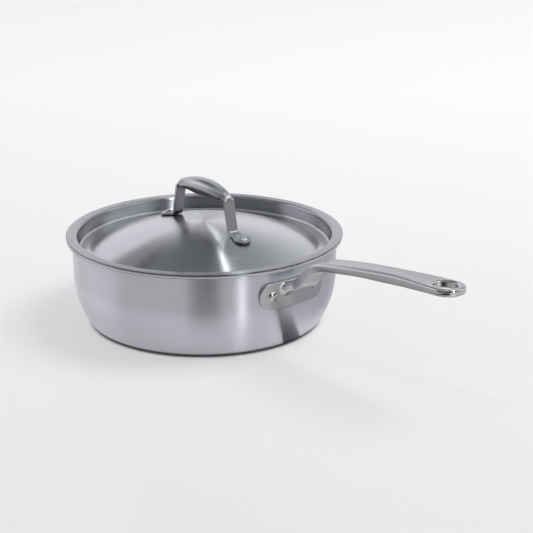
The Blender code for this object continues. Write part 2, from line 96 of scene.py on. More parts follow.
class PanHandleSizes(bpy.types.PropertyGroup):
    """Sizes of the cast handle and its rivets."""

    seat_gap: length("Seat gap", "Gap between touching pieces", 0.3)
    length: length("Length", "From the rim to the tip", 185.5)
    flange_height: length("Flange height", "Height of the mounting flange", 24.6)
    flange_thickness: length("Flange thickness", "Thickness of the mounting flange", 2.6)
    flange_below_lip: length("Flange below rim", "Rim to the flange's middle", 25.0)
    flange_edge: length("Flange edge", "Rounding of the flange's edge", 0.7)
    rivet_spacing: length("Rivet spacing", "Between the rivets along the wall", 49.6)
    rivet_shank: length("Rivet shank", "Diameter of the rivets' shanks", 6.4)
    outer_head: length("Outer head", "Diameter of the heads on the flange", 9.0)
    inner_head: length("Inner head", "Diameter of the heads inside the pan", 12.5)
    outer_rise: length("Outer rise", "Height of the heads on the flange", 1.8)
    inner_rise: length("Inner rise", "Height of the heads inside the pan", 2.2)
    root_below_lip: length("Root below rim", "Rim to the top of the neck's root", 15.2)
    root_bend: length("Root bend", "Radius between root and neck", 14.0)
    neck_slope: angle("Neck slope", "Rise of the neck", 43.0)
    neck_length: length("Neck length", "Straight part of the neck", 23.0)
    knee_bend: length("Knee bend", "Radius between neck and grip", 28.0)
    grip_start: angle("Grip start", "Rise of the grip at the knee", 10.5)
    grip_end: angle("Grip end", "Rise of the grip at the tip", 1.5)
    flare: length("Flare", "Radius between the neck's sides and the flange", 8.0)
    flare_below: length("Flare below", "Radius between the neck's bottom and the flange", 5.0)
    sink: length("Sink", "How far the flare starts inside the flange", 0.15)
    neck_width: length("Neck width", "Width of the neck", 22.5)
    grip_width: length("Grip width", "Width of the grip's wide part", 25.0)
    waist_width: length("Waist width", "Width of the grip's waist", 23.5)
    tip_width: length("Tip width", "Width of the round tip", 29.2)
    knee_to_wide: length("Knee to wide part", "From the knee to the wide part", 44.0)
    knee_to_waist: length("Knee to waist", "From the knee to the waist", 91.0)
    root_thickness: length("Root thickness", "Thickness at the flange", 6.4)
    neck_thickness: length("Neck thickness", "Thickness of the neck", 8.6)
    knee_thickness: length("Knee thickness", "Thickness at the knee", 7.6)
    grip_thickness: length("Grip thickness", "Thickness of the grip's thin part", 6.2)
    swell_thickness: length("Swell thickness", "Thickness at the waist", 7.3)
    tip_thickness: length("Tip thickness", "Thickness of the tip", 5.8)
    knee_to_thin: length("Knee to thin part", "From the knee to the thin part", 22.0)
    thin_length: length("Thin part", "Length of the thin part", 30.0)
    edge_round: length("Edge round", "Rounding of the neck's edges", 1.5)
    shoulder: length("Shoulder", "Width of the grip's round shoulders", 5.0)
    shoulder_drop: length("Shoulder drop", "Height of the grip's round shoulders", 3.6)
    tip_round: length("Tip round", "Rounding of the tip's edges", 2.6)
    grip_rise: length("Grip rise", "How far the grip's top bulges over its line", 1.4)
    tip_rise: length("Tip rise", "How far the tip's top bulges over its line", 0.5)
    dish: length("Dish", "Depth of the dish along the top", 0.3)
    hole_length: length("Hole length", "Length of the hang hole", 22.0)
    hole_width: length("Hole width", "Width of the hang hole", 17.0)
    hole_to_tip: length("Hole to tip", "From the hole's middle to the tip", 16.7)
    hole_round: length("Hole round", "Rounding of the hole's rim", 1.1)


class LidSizes(bpy.types.PropertyGroup):
    """Sizes of the lid's sheet."""

    overhang: length("Overhang", "How far the flange stands past the pan's rim", 0.5)
    sheet: length("Sheet", "Thickness of the sheet", 1.0)
    fit: length("Fit", "Gap between the drop wall and the pan", 1.05)
    fold: length("Fold", "Radius between flange and drop wall", 2.5)
    depth: length("Depth", "From the flange down to the groove", 14.1)
    fillet: length("Fillet", "Radius between drop wall and groove", 3.0)
    dome_rise: length("Dome rise", "From the flange up to the dome's top", 9.2)
    dome_blend: length("Dome blend", "Radius between groove and dome", 9.0)
    groove_flat: length("Groove", "Width of the groove's flat", 6.6)
    turn: angle("Turn", "How far the lid is turned on the pan", -1.5)


class LidHandleSizes(bpy.types.PropertyGroup):
    """Sizes of the lid's strap handle and its rivets."""

    rivet_spacing: length("Rivet spacing", "Between the two rivets", 109.4)
    rise: length("Rise", "From the lid's flange to the top of the arch", 49.8)
    arch_radius: length("Arch radius", "Radius of the arch's ridge", 88.0)
    arch_width: length("Arch width", "Width in the middle", 20.0)
    arch_crown: length("Arch crown", "Height of the ridge over the edges", 4.1)
    arch_side: length("Arch side", "Depth of the belly under the edges", 10.2)
    arch_edge: length("Arch edge", "Rounding of the arch's edges", 1.2)
    arch_belly: length("Arch belly", "How far the belly curves in under the edges", 6.5)
    shoulder_bend: length("Shoulder bend", "Radius between arch and leg", 10.5)
    foot_span: length("Foot span", "Between the corners of legs and feet", 85.4)
    leg_lean: angle("Leg lean", "How far the legs lean inward", 11.3)
    leg_width: length("Leg width", "Width of the legs", 10.4)
    leg_thickness: length("Leg thickness", "Thickness of the legs", 3.2)
    leg_edge: length("Leg edge", "Rounding of the legs' edges", 0.5)
    foot_width: length("Foot width", "Diameter of the round feet", 15.8)
    foot_thickness: length("Foot thickness", "Thickness of the feet", 2.4)
    foot_bend: length("Foot bend", "Radius between leg and foot", 3.5)
    top_head: length("Top head", "Diameter of the heads on the feet", 8.6)
    lower_head: length("Lower head", "Diameter of the heads under the lid", 12.0)
    top_rise: length("Top rise", "Height of the heads on the feet", 1.8)
    lower_rise: length("Lower rise", "Height of the heads under the lid", 2.0)


class SteelLook(bpy.types.PropertyGroup):
    """Colours and finishes of the metals."""

    wall: colour("Pan wall", "Colour of the brushed pan wall", (0.71, 0.715, 0.78))
    lid: colour("Lid", "Colour of the spun lid", (0.56, 0.565, 0.59))
    cast: colour("Cast steel", "Colour of the pan handle", (0.69, 0.69, 0.70))
    strap: colour("Strap steel", "Colour of the lid handle", (0.47, 0.47, 0.48))
    rivet: colour("Rivet steel", "Colour of the rivets", (0.55, 0.55, 0.56))
    core: colour("Core", "Colour of the aluminium core", (0.78, 0.79, 0.80))
    # Painted shade: grip_top to plate, and strap_top and strap_below, darken the handles by the way
    # each face turns.
    grip_top: level("Grip top", "Level of the pan handle's top", 0.66)
    grip_side: level("Grip side", "Level of the grip's sides", 0.56)
    plate: level("Plate", "Level of the pan handle's flange", 0.72)
    strap_top: level("Strap top", "Level of the lid handle's top", 0.98)
    strap_below: level("Strap below", "Level of the lid handle's belly", 0.12)
    core_metal: level("Core metal", "How metallic the core's cut edge is", 0.5)
    # Painted shade: wall_shade to edge_shade darken zones of the pan and lid, and foot_shade is a
    # painted contact shadow.
    wall_shade: level("Wall shade", "Level of the upright wall beside the belly's", 0.88)
    foot_shade: level("Foot shade", "Level of the wall where it meets the table", 0.12)
    flange_shade: level("Flange shade", "Level of the lid's flange and drop wall", 0.67)
    edge_shade: level("Edge shade", "Level of the lid's cut edge", 0.4)
    wall_roughness: level("Wall roughness", "Roughness of the brushed wall", 0.32)
    lid_roughness: level("Lid roughness", "Roughness of the spun lid", 0.2)
    cast_roughness: level("Handle roughness", "Roughness of the satin handles", 0.3)
    polish_roughness: level("Polish roughness", "Roughness of the polished rivets", 0.14)
    brushing: level("Brushing", "How much longer highlights run across the brushing", 1.0)


class StageLook(bpy.types.PropertyGroup):
    """Floor, studio and lamp."""

    floor: colour("Floor", "Colour of the table under the pan", (0.89, 0.89, 0.89))
    # Painted light fall-off: the table's colour gets paler toward the back.
    floor_change: level("Floor change", "How much paler the table gets over one metre back", 0.11)
    floor_glow: level("Floor glow", "Share of the table's tone that takes no shadow", 0.55)
    contact: length("Contact", "Width of the full shadow beside the pan's foot", 5.0)
    studio: colour("Studio", "Colour of the studio's light", (0.95, 0.95, 1.0))
    studio_level: level("Studio level", "Strength of the studio as metal mirrors it", 1.0, 4.0)
    table_light: level("Table light", "Strength of the soft light on the table", 0.5, 4.0)
    ceiling: colour("Ceiling", "Colour of the dark ceiling's light", (0.88, 0.98, 0.94))
    ceiling_dark: level("Ceiling dark", "How dark the ceiling over the set is", 0.84)
    ceiling_low: level("Ceiling low", "Share of the dark that is left low over the set", 0.55)
    ceiling_right: level("Ceiling right", "How dark the ceiling is on the strip's right", 0.62)
    front_dark: level("Front dark", "How dark the studio is behind the camera", 0.74)
    room_dark: level("Room dark", "How dark the gap right behind the camera is", 0.75)
    crease_dark: level("Crease dark", "How dark the studio is low on the far left", 0.75)
    strip_level: level("Strip level", "Brightness of the narrow strip by the camera", 9.0, 50.0)
    strip_low: level("Strip on the lid", "Share of the strip that the lid mirrors", 0.5)
    panel_level: level("Panel level", "Brightness of the panel on the left", 0.6, 50.0)
    line_level: level("Line level", "Brightness of the line of light on the right", 3.0, 50.0)
    lamp_power: level("Lamp power", "Power of the softbox in watts", 72.0, 400.0)
    lamp_size: length("Lamp size", "Side of the softbox", 1900.0)
    lamp_reach: length("Lamp reach", "From the pan to the softbox", 3500.0)
    lamp_turn: angle("Lamp turn", "How far the softbox stands to the camera's right", 100.0)
    lamp_rise: angle("Lamp rise", "How high the softbox stands over the pan", 58.0)


# Shader building

WHITE = (1.0, 1.0, 1.0, 1.0)
BLACK = (0.0, 0.0, 0.0, 1.0)

# Drift of every metal's colour and roughness: noise scales, then steps of the noise
MOTTLE_SCALE = 9.0
MOTTLE_SHARE = 0.4
MOTTLE_STEP = (0.3, 0.7)
SMUDGE_SCALE = 23.0
SMUDGE_SHARE = 0.25
SMUDGE_STEP = (0.45, 0.75)
TINT = 0.955

# Grain of turned metal: lines along the profile, and how fast they change round the axis
RING_SCALE = 1400.0
RING_DRIFT = 7.0
RING_RISE = 1.3
BROAD_SCALE = 0.11
BROAD_SHARE = 0.2
QUARTER_TURN = 0.25

# Grain of cast metal, drawn out along X, and the length over which one finish turns into the next and
# the painted side shade sets in
CAST_SCALE = 1500.0
CAST_STRETCH = 0.03
CAST_SPREAD = 0.08
CHANGE_LENGTH = 20 * MM
POLISH_SCALE = 900.0

# How far cast metal faces a way when the painted shade level for that way sets in, and when it is
# full
UPWARD = (0.8, 0.97)
SIDEWAYS = (0.55, 0.8)
DOWNWARD = (-0.35, 0.05)
AHEAD = (0.85, 0.97)


class Wire:
    """A shader value: arithmetic on it adds Math nodes to its material."""

    def __init__(self, finish, socket):
        self.finish = finish
        self.socket = socket

    def math(self, operation, *others):
        return self.finish.node("ShaderNodeMath", {"operation": operation},
                                dict(enumerate((self, *others))))

    def __add__(self, other):
        return self.math("ADD", other)

    def __sub__(self, other):
        return self.math("SUBTRACT", other)

    def __rsub__(self, other):
        return self.finish.node("ShaderNodeMath", {"operation": "SUBTRACT"}, {0: other, 1: self})

    def __mul__(self, other):
        return self.math("MULTIPLY", other)

    def __pow__(self, other):
        return self.math("POWER", other)

    __radd__ = __add__
    __rmul__ = __mul__


class Finish:
    """A node tree under construction, of a material or of the world."""

    def __init__(self, tree):
        self.tree = tree

    def node(self, kind, settings=None, inputs=None, output=0):
        """Adds a node: its settings first, then values or links of its sockets."""
        node = self.tree.nodes.new(kind)
        for name, value in (settings or {}).items():
            setattr(node, name, value)
        for name, value in (inputs or {}).items():
            self.feed(node.inputs[name], value)
        return Wire(self, node.outputs[output])

    def feed(self, socket, value):
        """Links a wire to a socket, or sets the socket's own value."""
        if isinstance(value, Wire):
            self.tree.links.new(value.socket, socket)
        else:
            socket.default_value = value

    def place(self):
        """The point on the object."""
        return self.node("ShaderNodeTexCoord", output=3)

    def axes(self, vector):
        """The three parts of a vector."""
        apart = self.node("ShaderNodeSeparateXYZ", None, {0: vector})
        return [Wire(self, socket) for socket in apart.socket.node.outputs]

    def dot(self, vector, axis):
        """How far a vector reaches along an axis."""
        return self.node("ShaderNodeVectorMath", {"operation": "DOT_PRODUCT"},
                         {0: vector, 1: axis}, output=1)

    def mix(self, factor, first, second):
        """A colour between two colours."""
        return self.node("ShaderNodeMix", {"data_type": "RGBA"},
                         {0: factor, 6: first, 7: second}, output=2)

    def step(self, value, low, high, low_result=0.0, high_result=1.0):
        """A smooth step of a value from one level to another."""
        return self.node("ShaderNodeMapRange", {"interpolation_type": "SMOOTHSTEP"},
                         {"Value": value, "From Min": low, "From Max": high,
                          "To Min": low_result, "To Max": high_result})

    def window(self, value, rise, fall=None):
        """One from the end of a rise to the start of a fall, each a pair, and zero outside."""
        risen = self.step(value, *rise)
        return risen if fall is None else risen * self.step(value, *fall, 1.0, 0.0)

    def noise(self, vector, scale, detail=3.0, roughness=0.55):
        """Noise from zero to one along a vector."""
        return self.node("ShaderNodeTexNoise", None,
                         {"Vector": vector, "Scale": scale, "Detail": detail,
                          "Roughness": roughness})

    def mirrored(self):
        """One where metal mirrors the surface or the world, otherwise zero."""
        return self.node("ShaderNodeLightPath", output=3)


def opaque(tone):
    """A colour with full alpha."""
    return (*tone, 1.0)


def new_material(name, **constants):
    """A material with the constant sockets of its Principled shader set."""
    material = bpy.data.materials.new(name)
    material.use_nodes = True
    shader = material.node_tree.nodes["Principled BSDF"]
    for socket, value in constants.items():
        shader.inputs[socket.replace("_", " ")].default_value = value
    return material, Finish(material.node_tree), shader


def new_metal(name, base, **constants):
    """A metal material in its base colour."""
    return new_material(name, Metallic=1.0, Base_Color=opaque(base), **constants)


def from_axis(x, y):
    """The distance from the upright axis."""
    return (x * x + y * y) ** 0.5


def worn(finish, roughness, streaks, spread):
    """A roughness that drifts with the streaks, and smudges that widen it a little."""
    smudge = finish.noise(finish.place(), SMUDGE_SCALE, 4.0)
    wear = finish.step(smudge, *SMUDGE_STEP)
    return roughness + (streaks - 0.5) * spread + wear * (SMUDGE_SHARE * spread)


def finish_surface(finish, shader, base, rough, streaks, grain, strength, shade=1.0):
    """Feeds a metal: its colour drifts with the streaks, and the streaks make the bump.

    The colour lies between the base and a tint under it, and a painted shade of less than one darkens
    it.
    """
    mottle = finish.noise(finish.place(), MOTTLE_SCALE, 2.0)
    blend = finish.step(streaks * (1.0 - MOTTLE_SHARE) + mottle * MOTTLE_SHARE, *MOTTLE_STEP)
    unshaded_tone = finish.mix(blend, opaque(base), opaque([TINT * value for value in base]))
    # Painted shade: the colour is darkened toward black wherever the shade is under one.
    finish.feed(shader.inputs["Base Color"], finish.mix(shade, BLACK, unshaded_tone))
    finish.feed(shader.inputs["Roughness"], rough)
    bump = finish.node("ShaderNodeBump", None,
                       {"Strength": strength, "Distance": grain, "Height": streaks})
    finish.feed(shader.inputs["Normal"], bump)


def turned_metal(name, base, roughness, brushing, shades=()):
    """Metal brushed or spun round the axis: streaks follow the profile and run round.

    A painted shade (radius or height, from, to, level before, level after) darkens a zone of it.
    """
    material, finish, shader = new_metal(name, base, Anisotropic=brushing,
                                         Anisotropic_Rotation=QUARTER_TURN)
    x, y, z = finish.axes(finish.place())
    radius = from_axis(x, y)
    along = (radius + z * RING_RISE) * RING_SCALE
    vector = finish.node("ShaderNodeCombineXYZ", None,
                         {0: along, 1: x * RING_DRIFT, 2: y * RING_DRIFT})
    fine = finish.noise(vector, 1.0, 3.0, 0.7)
    broad = finish.noise(vector, BROAD_SCALE, 2.0)
    streaks = fine * (1.0 - BROAD_SHARE) + broad * BROAD_SHARE
    # Painted shade: each zone in shades darkens the colour by radius or height.
    shade = 1.0
    for axis, start, stop, before, after in shades:
        value = {"radius": radius, "height": z}[axis]
        shade = finish.step(value, start, stop, before, after) * shade
    rough = worn(finish, roughness, streaks, spread=0.09)
    finish_surface(finish, shader, base, rough, streaks, grain=0.02 * MM, strength=0.12, shade=shade)
    return material


def cast_metal(name, base, roughness, levels, side_from=-1.0, polish_from=1.0, polish=0.12):
    """Satin cast metal brushed along X.

    The levels are painted shade: they darken what faces up, sideways (past a place along X),
    down and along X. Past a second place along X the metal is polished.
    """
    top, side, below, front = levels
    material, finish, shader = new_metal(name, base)
    place = finish.place()
    along = finish.axes(place)[0]
    stretched = finish.node("ShaderNodeMapping", None,
                            {"Vector": place, "Scale": (CAST_STRETCH, 1.0, 1.0)})
    fine = finish.noise(stretched, CAST_SCALE, 3.0, 0.65)
    ahead, sideways, up = finish.axes(finish.node("ShaderNodeTexCoord", output=1))
    # Painted shade: the top, the sides past side_from, the underside and what faces along X get
    # darker levels.
    past = finish.step(along, side_from, side_from + CHANGE_LENGTH)
    flank = finish.step(sideways.math("ABSOLUTE"), *SIDEWAYS) * past
    shade = finish.step(up, *UPWARD, 1.0, top) * (1.0 - flank * (1.0 - side))
    shade = shade * finish.step(up, *DOWNWARD, below, 1.0)
    shade = shade * finish.step(ahead, *AHEAD, 1.0, front)
    share = finish.step(along, polish_from, polish_from + CHANGE_LENGTH)
    satin = roughness + (fine - 0.5) * CAST_SPREAD
    rough = satin * (1.0 - share) + share * polish
    finish_surface(finish, shader, base, rough, fine, grain=0.02 * MM, strength=0.15, shade=shade)
    return material


def polished_metal(name, base, roughness):
    """Polished metal with faint turning marks and a little handling wear."""
    material, finish, shader = new_metal(name, base)
    fine = finish.noise(finish.place(), POLISH_SCALE, 2.0)
    rough = worn(finish, roughness, fine, spread=0.06)
    finish_surface(finish, shader, base, rough, fine, grain=0.01 * MM, strength=0.15)
    return material


# Surfaces


def arc(centre, radius, start, end, steps):
    """Points (n, 2) on a circle about centre, from one angle in radians to another."""
    turn = np.linspace(start, end, steps + 1)
    return np.stack([centre[0] + radius * np.cos(turn), centre[1] + radius * np.sin(turn)], axis=1)


def smooth_blend(places, values, x):
    """Values at x between stations, with a smooth step (3t^2 - 2t^3) from each to the next."""
    places = np.asarray(places)
    values = np.asarray(values)
    index = np.clip(np.searchsorted(places, x) - 1, 0, len(places) - 2)
    share = np.clip((x - places[index]) / (places[index + 1] - places[index]), 0.0, 1.0)
    share = share * share * (3.0 - 2.0 * share)
    return values[index] + (values[index + 1] - values[index]) * share


def make_mesh(name, points, quads, triangles):
    """A mesh from arrays of corners, turned outward by the sign of its volume."""
    points = np.asarray(points, dtype=np.float64)
    quads = np.asarray(quads, dtype=np.int32).reshape(-1, 4)
    triangles = np.asarray(triangles, dtype=np.int32).reshape(-1, 3)
    whole = np.concatenate([quads[:, [0, 1, 2]], quads[:, [0, 2, 3]], triangles])
    first, second, third = (points[whole[:, i]] for i in range(3))
    if np.einsum("ij,ij->i", first, np.cross(second, third)).sum() < 0.0:
        quads = quads[:, ::-1]
        triangles = triangles[:, ::-1]
    mesh = bpy.data.meshes.new(name)
    mesh.vertices.add(len(points))
    mesh.vertices.foreach_set("co", points.ravel())
    corners = np.concatenate([quads.ravel(), triangles.ravel()])
    counts = np.concatenate([np.full(len(quads), 4), np.full(len(triangles), 3)])
    mesh.loops.add(len(corners))
    mesh.loops.foreach_set("vertex_index", corners)
    mesh.polygons.add(len(counts))
    mesh.polygons.foreach_set("loop_start", np.concatenate([[0], np.cumsum(counts)[:-1]]))
    mesh.update(calc_edges=True)
    mesh.validate()
    return mesh


def lofted_mesh(name, rings, ends=None, strip_from=None):
    """The surface through rings (stations, corners, 3), closed by a fan at each end.

    A fan meets in the given end point, or in the middle of its ring. With strip_from, each end
    is closed by a strip across its ring instead, which starts before that corner, so the end
    keeps the ring's curve.
    """
    stations, count = rings.shape[:2]
    points = rings.reshape(-1, 3)
    ring = np.arange(count)
    after = (ring + 1) % count
    rows = np.arange(stations - 1)[:, None] * count
    quads = np.stack([rows + ring, rows + after, rows + count + after, rows + count + ring], axis=2)
    quads = quads.reshape(-1, 4)
    last = (stations - 1) * count
    if strip_from is not None:
        step = np.arange(count // 2)
        one = (strip_from + step) % count
        other = (strip_from - 1 - step) % count
        strip = np.stack([one[1:], one[:-1], other[:-1], other[1:]], axis=1)
        return make_mesh(name, points, np.concatenate([quads, strip, strip[:, ::-1] + last]), [])
    if ends is None:
        ends = [rings[0].mean(axis=0), rings[-1].mean(axis=0)]
    near = np.full(count, stations * count)
    triangles = np.concatenate([
        np.stack([near, after, ring], axis=1),
        np.stack([near + 1, last + ring, last + after], axis=1),
    ])
    return make_mesh(name, np.concatenate([points, ends]), quads, triangles)


def turned_mesh(name, outline, steps):
    """The surface (r cos t, r sin t, z) of an outline (r, z) that starts and ends on the axis."""
    turn = np.linspace(0.0, 2.0 * np.pi, steps, endpoint=False)
    radius = outline[1:-1, 0, None]
    z = np.repeat(outline[1:-1, 1, None], steps, axis=1)
    rings = np.stack([radius * np.cos(turn), radius * np.sin(turn), z], axis=2)
    mesh = lofted_mesh(name, rings, [[0.0, 0.0, outline[0, 1]], [0.0, 0.0, outline[-1, 1]]])
    smooth(mesh)
    return mesh


def whole_rings(x, z, sin, cos, across, height):
    """Rings (stations, corners, 3) square to a line (x, z), from half a section and its mirror.

    A corner lies across the line to one side, and a height from it along its normal (-sin, cos).
    """
    across = np.concatenate([across, -across[:, -2:0:-1]], axis=1)
    height = np.concatenate([height, height[:, -2:0:-1]], axis=1)
    x, z, sin, cos = (values[:, None] for values in (x, z, sin, cos))
    return np.stack([x - height * sin, across, z + height * cos], axis=2)


def smooth(mesh, degrees=38.0):
    """Shades a mesh smooth between faces that meet at less than an angle."""
    mesh.shade_smooth()
    mesh.set_sharp_from_angle(angle=math.radians(degrees))


def new_object(name, data):
    """Adds an object to the scene."""
    item = bpy.data.objects.new(name, data)
    bpy.context.scene.collection.objects.link(item)
    return item


def place_piece(name, mesh, material, body, node):
    """Adds a finished piece that rides on a body and stands for a node."""
    mesh.name = name
    mesh.materials.clear()
    mesh.materials.append(material)
    piece = new_object(name, mesh)
    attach(piece, body)
    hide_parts(node)


def evaluated_mesh(item):
    """An object's mesh with its modifiers applied."""
    bpy.context.view_layer.update()
    evaluated = item.evaluated_get(bpy.context.evaluated_depsgraph_get())
    return bpy.data.meshes.new_from_object(evaluated)


def combined(name, mesh, others):
    """A mesh after Boolean operations with (mesh, operation) others, which are removed again.

    Large faces set the shading normals, so slivers along the cuts don't show.
    """
    item = new_object(name, mesh)
    helpers = []
    for other, operation in others:
        helper = new_object(name + "_helper", other)
        helpers.append(helper)
        modifier = item.modifiers.new("join", "BOOLEAN")
        modifier.operation = operation
        modifier.object = helper
        modifier.solver = "EXACT"
    joined = evaluated_mesh(item)
    smooth(joined)
    item.modifiers.clear()
    item.data = joined
    even = item.modifiers.new("even", "WEIGHTED_NORMAL")
    even.keep_sharp = True
    result = evaluated_mesh(item)
    for extra in [item, *helpers]:
        bpy.data.objects.remove(extra, do_unlink=True)
    return result


def about_z(points, turn):
    """Points turned about Z."""
    cos, sin = math.cos(turn), math.sin(turn)
    x, y, z = points[..., 0], points[..., 1], points[..., 2]
    return np.stack([x * cos - y * sin, x * sin + y * cos, z], axis=-1)


def tipped(points, tilt, place):
    """Points along Z tipped toward +X by tilt about Y and moved to a place."""
    cos, sin = math.cos(tilt), math.sin(tilt)
    x, y, z = points[:, 0], points[:, 1], points[:, 2]
    return np.stack([x * cos + z * sin, y, z * cos - x * sin], axis=1) + np.asarray(place)


def move_mesh(mesh, turn, tilt=0.0, place=(0.0, 0.0, 0.0)):
    """Tips a mesh about Y, moves it and turns it about Z."""
    points = np.empty(len(mesh.vertices) * 3, np.float32)
    mesh.vertices.foreach_get("co", points)
    moved = about_z(tipped(points.reshape(-1, 3).astype(np.float64), tilt, place), turn)
    mesh.vertices.foreach_set("co", moved.astype(np.float32).ravel())
    mesh.update()


# The pan

# Steps round the axis, then of the profile's arcs
PAN_STEPS = 512
RIVET_STEPS = 64
CORNER_STEPS = 16
BELLY_STEPS = 20
LIP_STEPS = 12
LIP_EDGE_STEPS = 8
HEAD_STEPS = 14

# Heights between which the wall's painted shade changes: a painted contact shadow at its foot, and in
# shares of half its height a darker upright wall
FOOT_ZONE = (1 * MM, 5 * MM)
BELLY_ZONE = (0.9, 1.3)


def pan_wall(pan):
    """Thickness of the three sheets and the gaps between them."""
    return 2 * pan.skin + pan.core + 2 * pan.ply_gap


def wall_radius(pan):
    """Radius of the upright wall's outside."""
    return pan.lip_radius - pan.lip_flare


def pan_face(pan, depth, edge):
    """The pan's section a depth inside its outer face, from the axis to edge short of the lip's end.

    A flat base, a corner arc, a belly arc, the straight wall and an arc into the flat lip.
    """
    wall = wall_radius(pan)
    belly = wall - pan.belly_radius
    run = pan.belly_radius - pan.corner_radius
    corner = (belly + run * math.cos(pan.belly_turn), pan.corner_radius)
    middle = (belly, pan.corner_radius + run * math.sin(pan.belly_turn))
    top = pan.height - pan_wall(pan)
    lip = (wall + pan.lip_bend, top - pan.lip_bend)
    return np.concatenate([
        [(0.0, depth)],
        arc(corner, pan.corner_radius - depth, -math.pi / 2, -pan.belly_turn, CORNER_STEPS),
        arc(middle, pan.belly_radius - depth, -pan.belly_turn, 0.0, BELLY_STEPS)[1:],
        arc(lip, pan.lip_bend + depth, math.pi, math.pi / 2, LIP_STEPS),
        [(pan.lip_radius - edge, top + depth)],
    ])


def pan_sheet(pan, depth, thickness):
    """A closed outline of one sheet, with a round lip edge."""
    edge = thickness / 2
    inner = pan_face(pan, depth + thickness, edge)
    outer = pan_face(pan, depth, edge)[::-1]
    centre = (pan.lip_radius - edge, pan.height - pan_wall(pan) + depth + edge)
    round_edge = arc(centre, edge, math.pi / 2, -math.pi / 2, LIP_EDGE_STEPS)[1:-1]
    return np.concatenate([inner, round_edge, outer])


def rivet_outline(shank, heads):
    """A rivet's outline: two domed heads of (diameter, rise, seat, side) on a shank."""
    parts = []
    for width, rise, seat, side in heads:
        half = width / 2
        radius = (half * half + rise * rise) / (2 * rise)
        reach = math.asin(min(1.0, half / radius))
        dome = arc((0.0, seat + side * (rise - radius)), radius, side * math.pi / 2,
                   side * (math.pi / 2 - reach), HEAD_STEPS)
        parts.append(np.concatenate([dome, [(shank / 2, seat)]]))
    return np.concatenate([parts[0], parts[1][::-1]])


# The pan handle

# Points along the line's arcs, round the tip, up the flared root and across the handle
LINE_POINTS = 24
TIP_POINTS = 40
ROOT_POINTS = 16
DISH_POINTS = 12
SHOULDER_POINTS = 18
LOW_EDGE_POINTS = 9
BOTTOM_POINTS = 5

# Points round the flange's ends, along its straights and over its edges, and rings on its faces
FLANGE_END_POINTS = 36
FLANGE_SIDE_POINTS = 61
FLANGE_EDGE_POINTS = 7
FLANGE_FACE_INSETS = (0.98, 0.7)

# Points of the hang hole, and how far its cutter reaches past the handle
HOLE_POINTS = 96
HOLE_EDGE_POINTS = 9
HOLE_OVERSHOOT = 1.5 * MM

# The rings of a round end stop this far round it
ROUND_END = math.radians(87.0)

# The polished part in front of the tip, over the distance from the hole's middle to the tip
POLISHED_LENGTH = 2.2

# Painted shade level of what faces down on the handle
HANDLE_BELOW = 0.8


def handle_reach(pan, handle):
    """From the pan's axis to the handle's tip."""
    return pan.lip_radius + handle.length


def flange_radius(pan, handle):
    """Radius of the flange's outer face."""
    return wall_radius(pan) + handle.seat_gap + handle.flange_thickness


def grip_line(pan, handle):
    """The handle's top centre line as arrays x, z and slope, from the flange to the tip.

    An arc turns from level to the neck's slope, then come a straight neck, a tight knee arc and
    one long arc to the tip, each tangent to the next.
    """
    reach = handle_reach(pan, handle)
    x = wall_radius(pan) + handle.seat_gap + handle.flange_thickness / 3
    z = pan.height - handle.root_below_lip
    slope = handle.neck_slope
    turn = np.linspace(0.0, slope, LINE_POINTS)
    xs = [x + handle.root_bend * np.sin(turn)]
    zs = [z + handle.root_bend * (1.0 - np.cos(turn))]
    slopes = [turn]
    run = np.linspace(0.0, handle.neck_length, LINE_POINTS)[1:]
    xs.append(xs[-1][-1] + run * math.cos(slope))
    zs.append(zs[-1][-1] + run * math.sin(slope))
    slopes.append(np.full(len(run), slope))
    for radius, end, count in ((handle.knee_bend, handle.grip_start, LINE_POINTS),
                               (None, handle.grip_end, 8 * LINE_POINTS)):
        x, z = xs[-1][-1], zs[-1][-1]
        if radius is None:
            radius = (reach - x) / (math.sin(slope) - math.sin(end))
        turn = np.linspace(slope, end, count)[1:]
        xs.append(x + radius * (math.sin(slope) - np.sin(turn)))
        zs.append(z + radius * (np.cos(turn) - math.cos(slope)))
        slopes.append(turn)
        slope = end
    return np.concatenate(xs), np.concatenate(zs), np.concatenate(slopes)


def grip_sections(line, width, thickness, dish, shoulder, drop, flares):
    """Rings (stations, corners, 3) of the handle, square to its line (x, z, slope).

    The top runs from a shallow dish to a shoulder, a quarter of an ellipse that ends in the side.
    Then come the lower round edge and a flat bottom. Where a ring flares, its sides, its bottom
    and, a quarter as far as the sides, its top move out.
    """
    sides, below = flares
    half = width / 2 + sides
    thickness = thickness + below + sides / 4
    shoulder = np.minimum(shoulder + sides / 2, half / 2)
    drop = np.minimum(drop + sides / 2, 0.55 * thickness)
    low = np.minimum(np.minimum(drop + below / 2, half / 2), 0.45 * thickness)
    share = np.linspace(0.0, 1.0, DISH_POINTS)[:, None]
    across = [share * (half - shoulder)]
    height = [-dish * (1.0 - share ** 2) ** 1.6]
    turn = np.linspace(0.0, np.pi / 2, SHOULDER_POINTS)[1:, None]
    across.append(half - shoulder + shoulder * np.sin(turn))
    height.append(drop * np.cos(turn) - drop)
    turn = np.linspace(0.0, np.pi / 2, LOW_EDGE_POINTS)[:, None]
    across.append(half - low + low * np.cos(turn))
    height.append(low - thickness - low * np.sin(turn))
    share = np.linspace(0.8, 0.0, BOTTOM_POINTS)[:, None]
    across.append(share * (half - low))
    height.append(-thickness + 0.0 * across[-1])
    across = np.concatenate(across).T
    height = np.concatenate(height).T + sides[:, None] / 4
    x, z, slope = line
    return whole_rings(x, z, np.sin(slope), np.cos(slope), across, height)


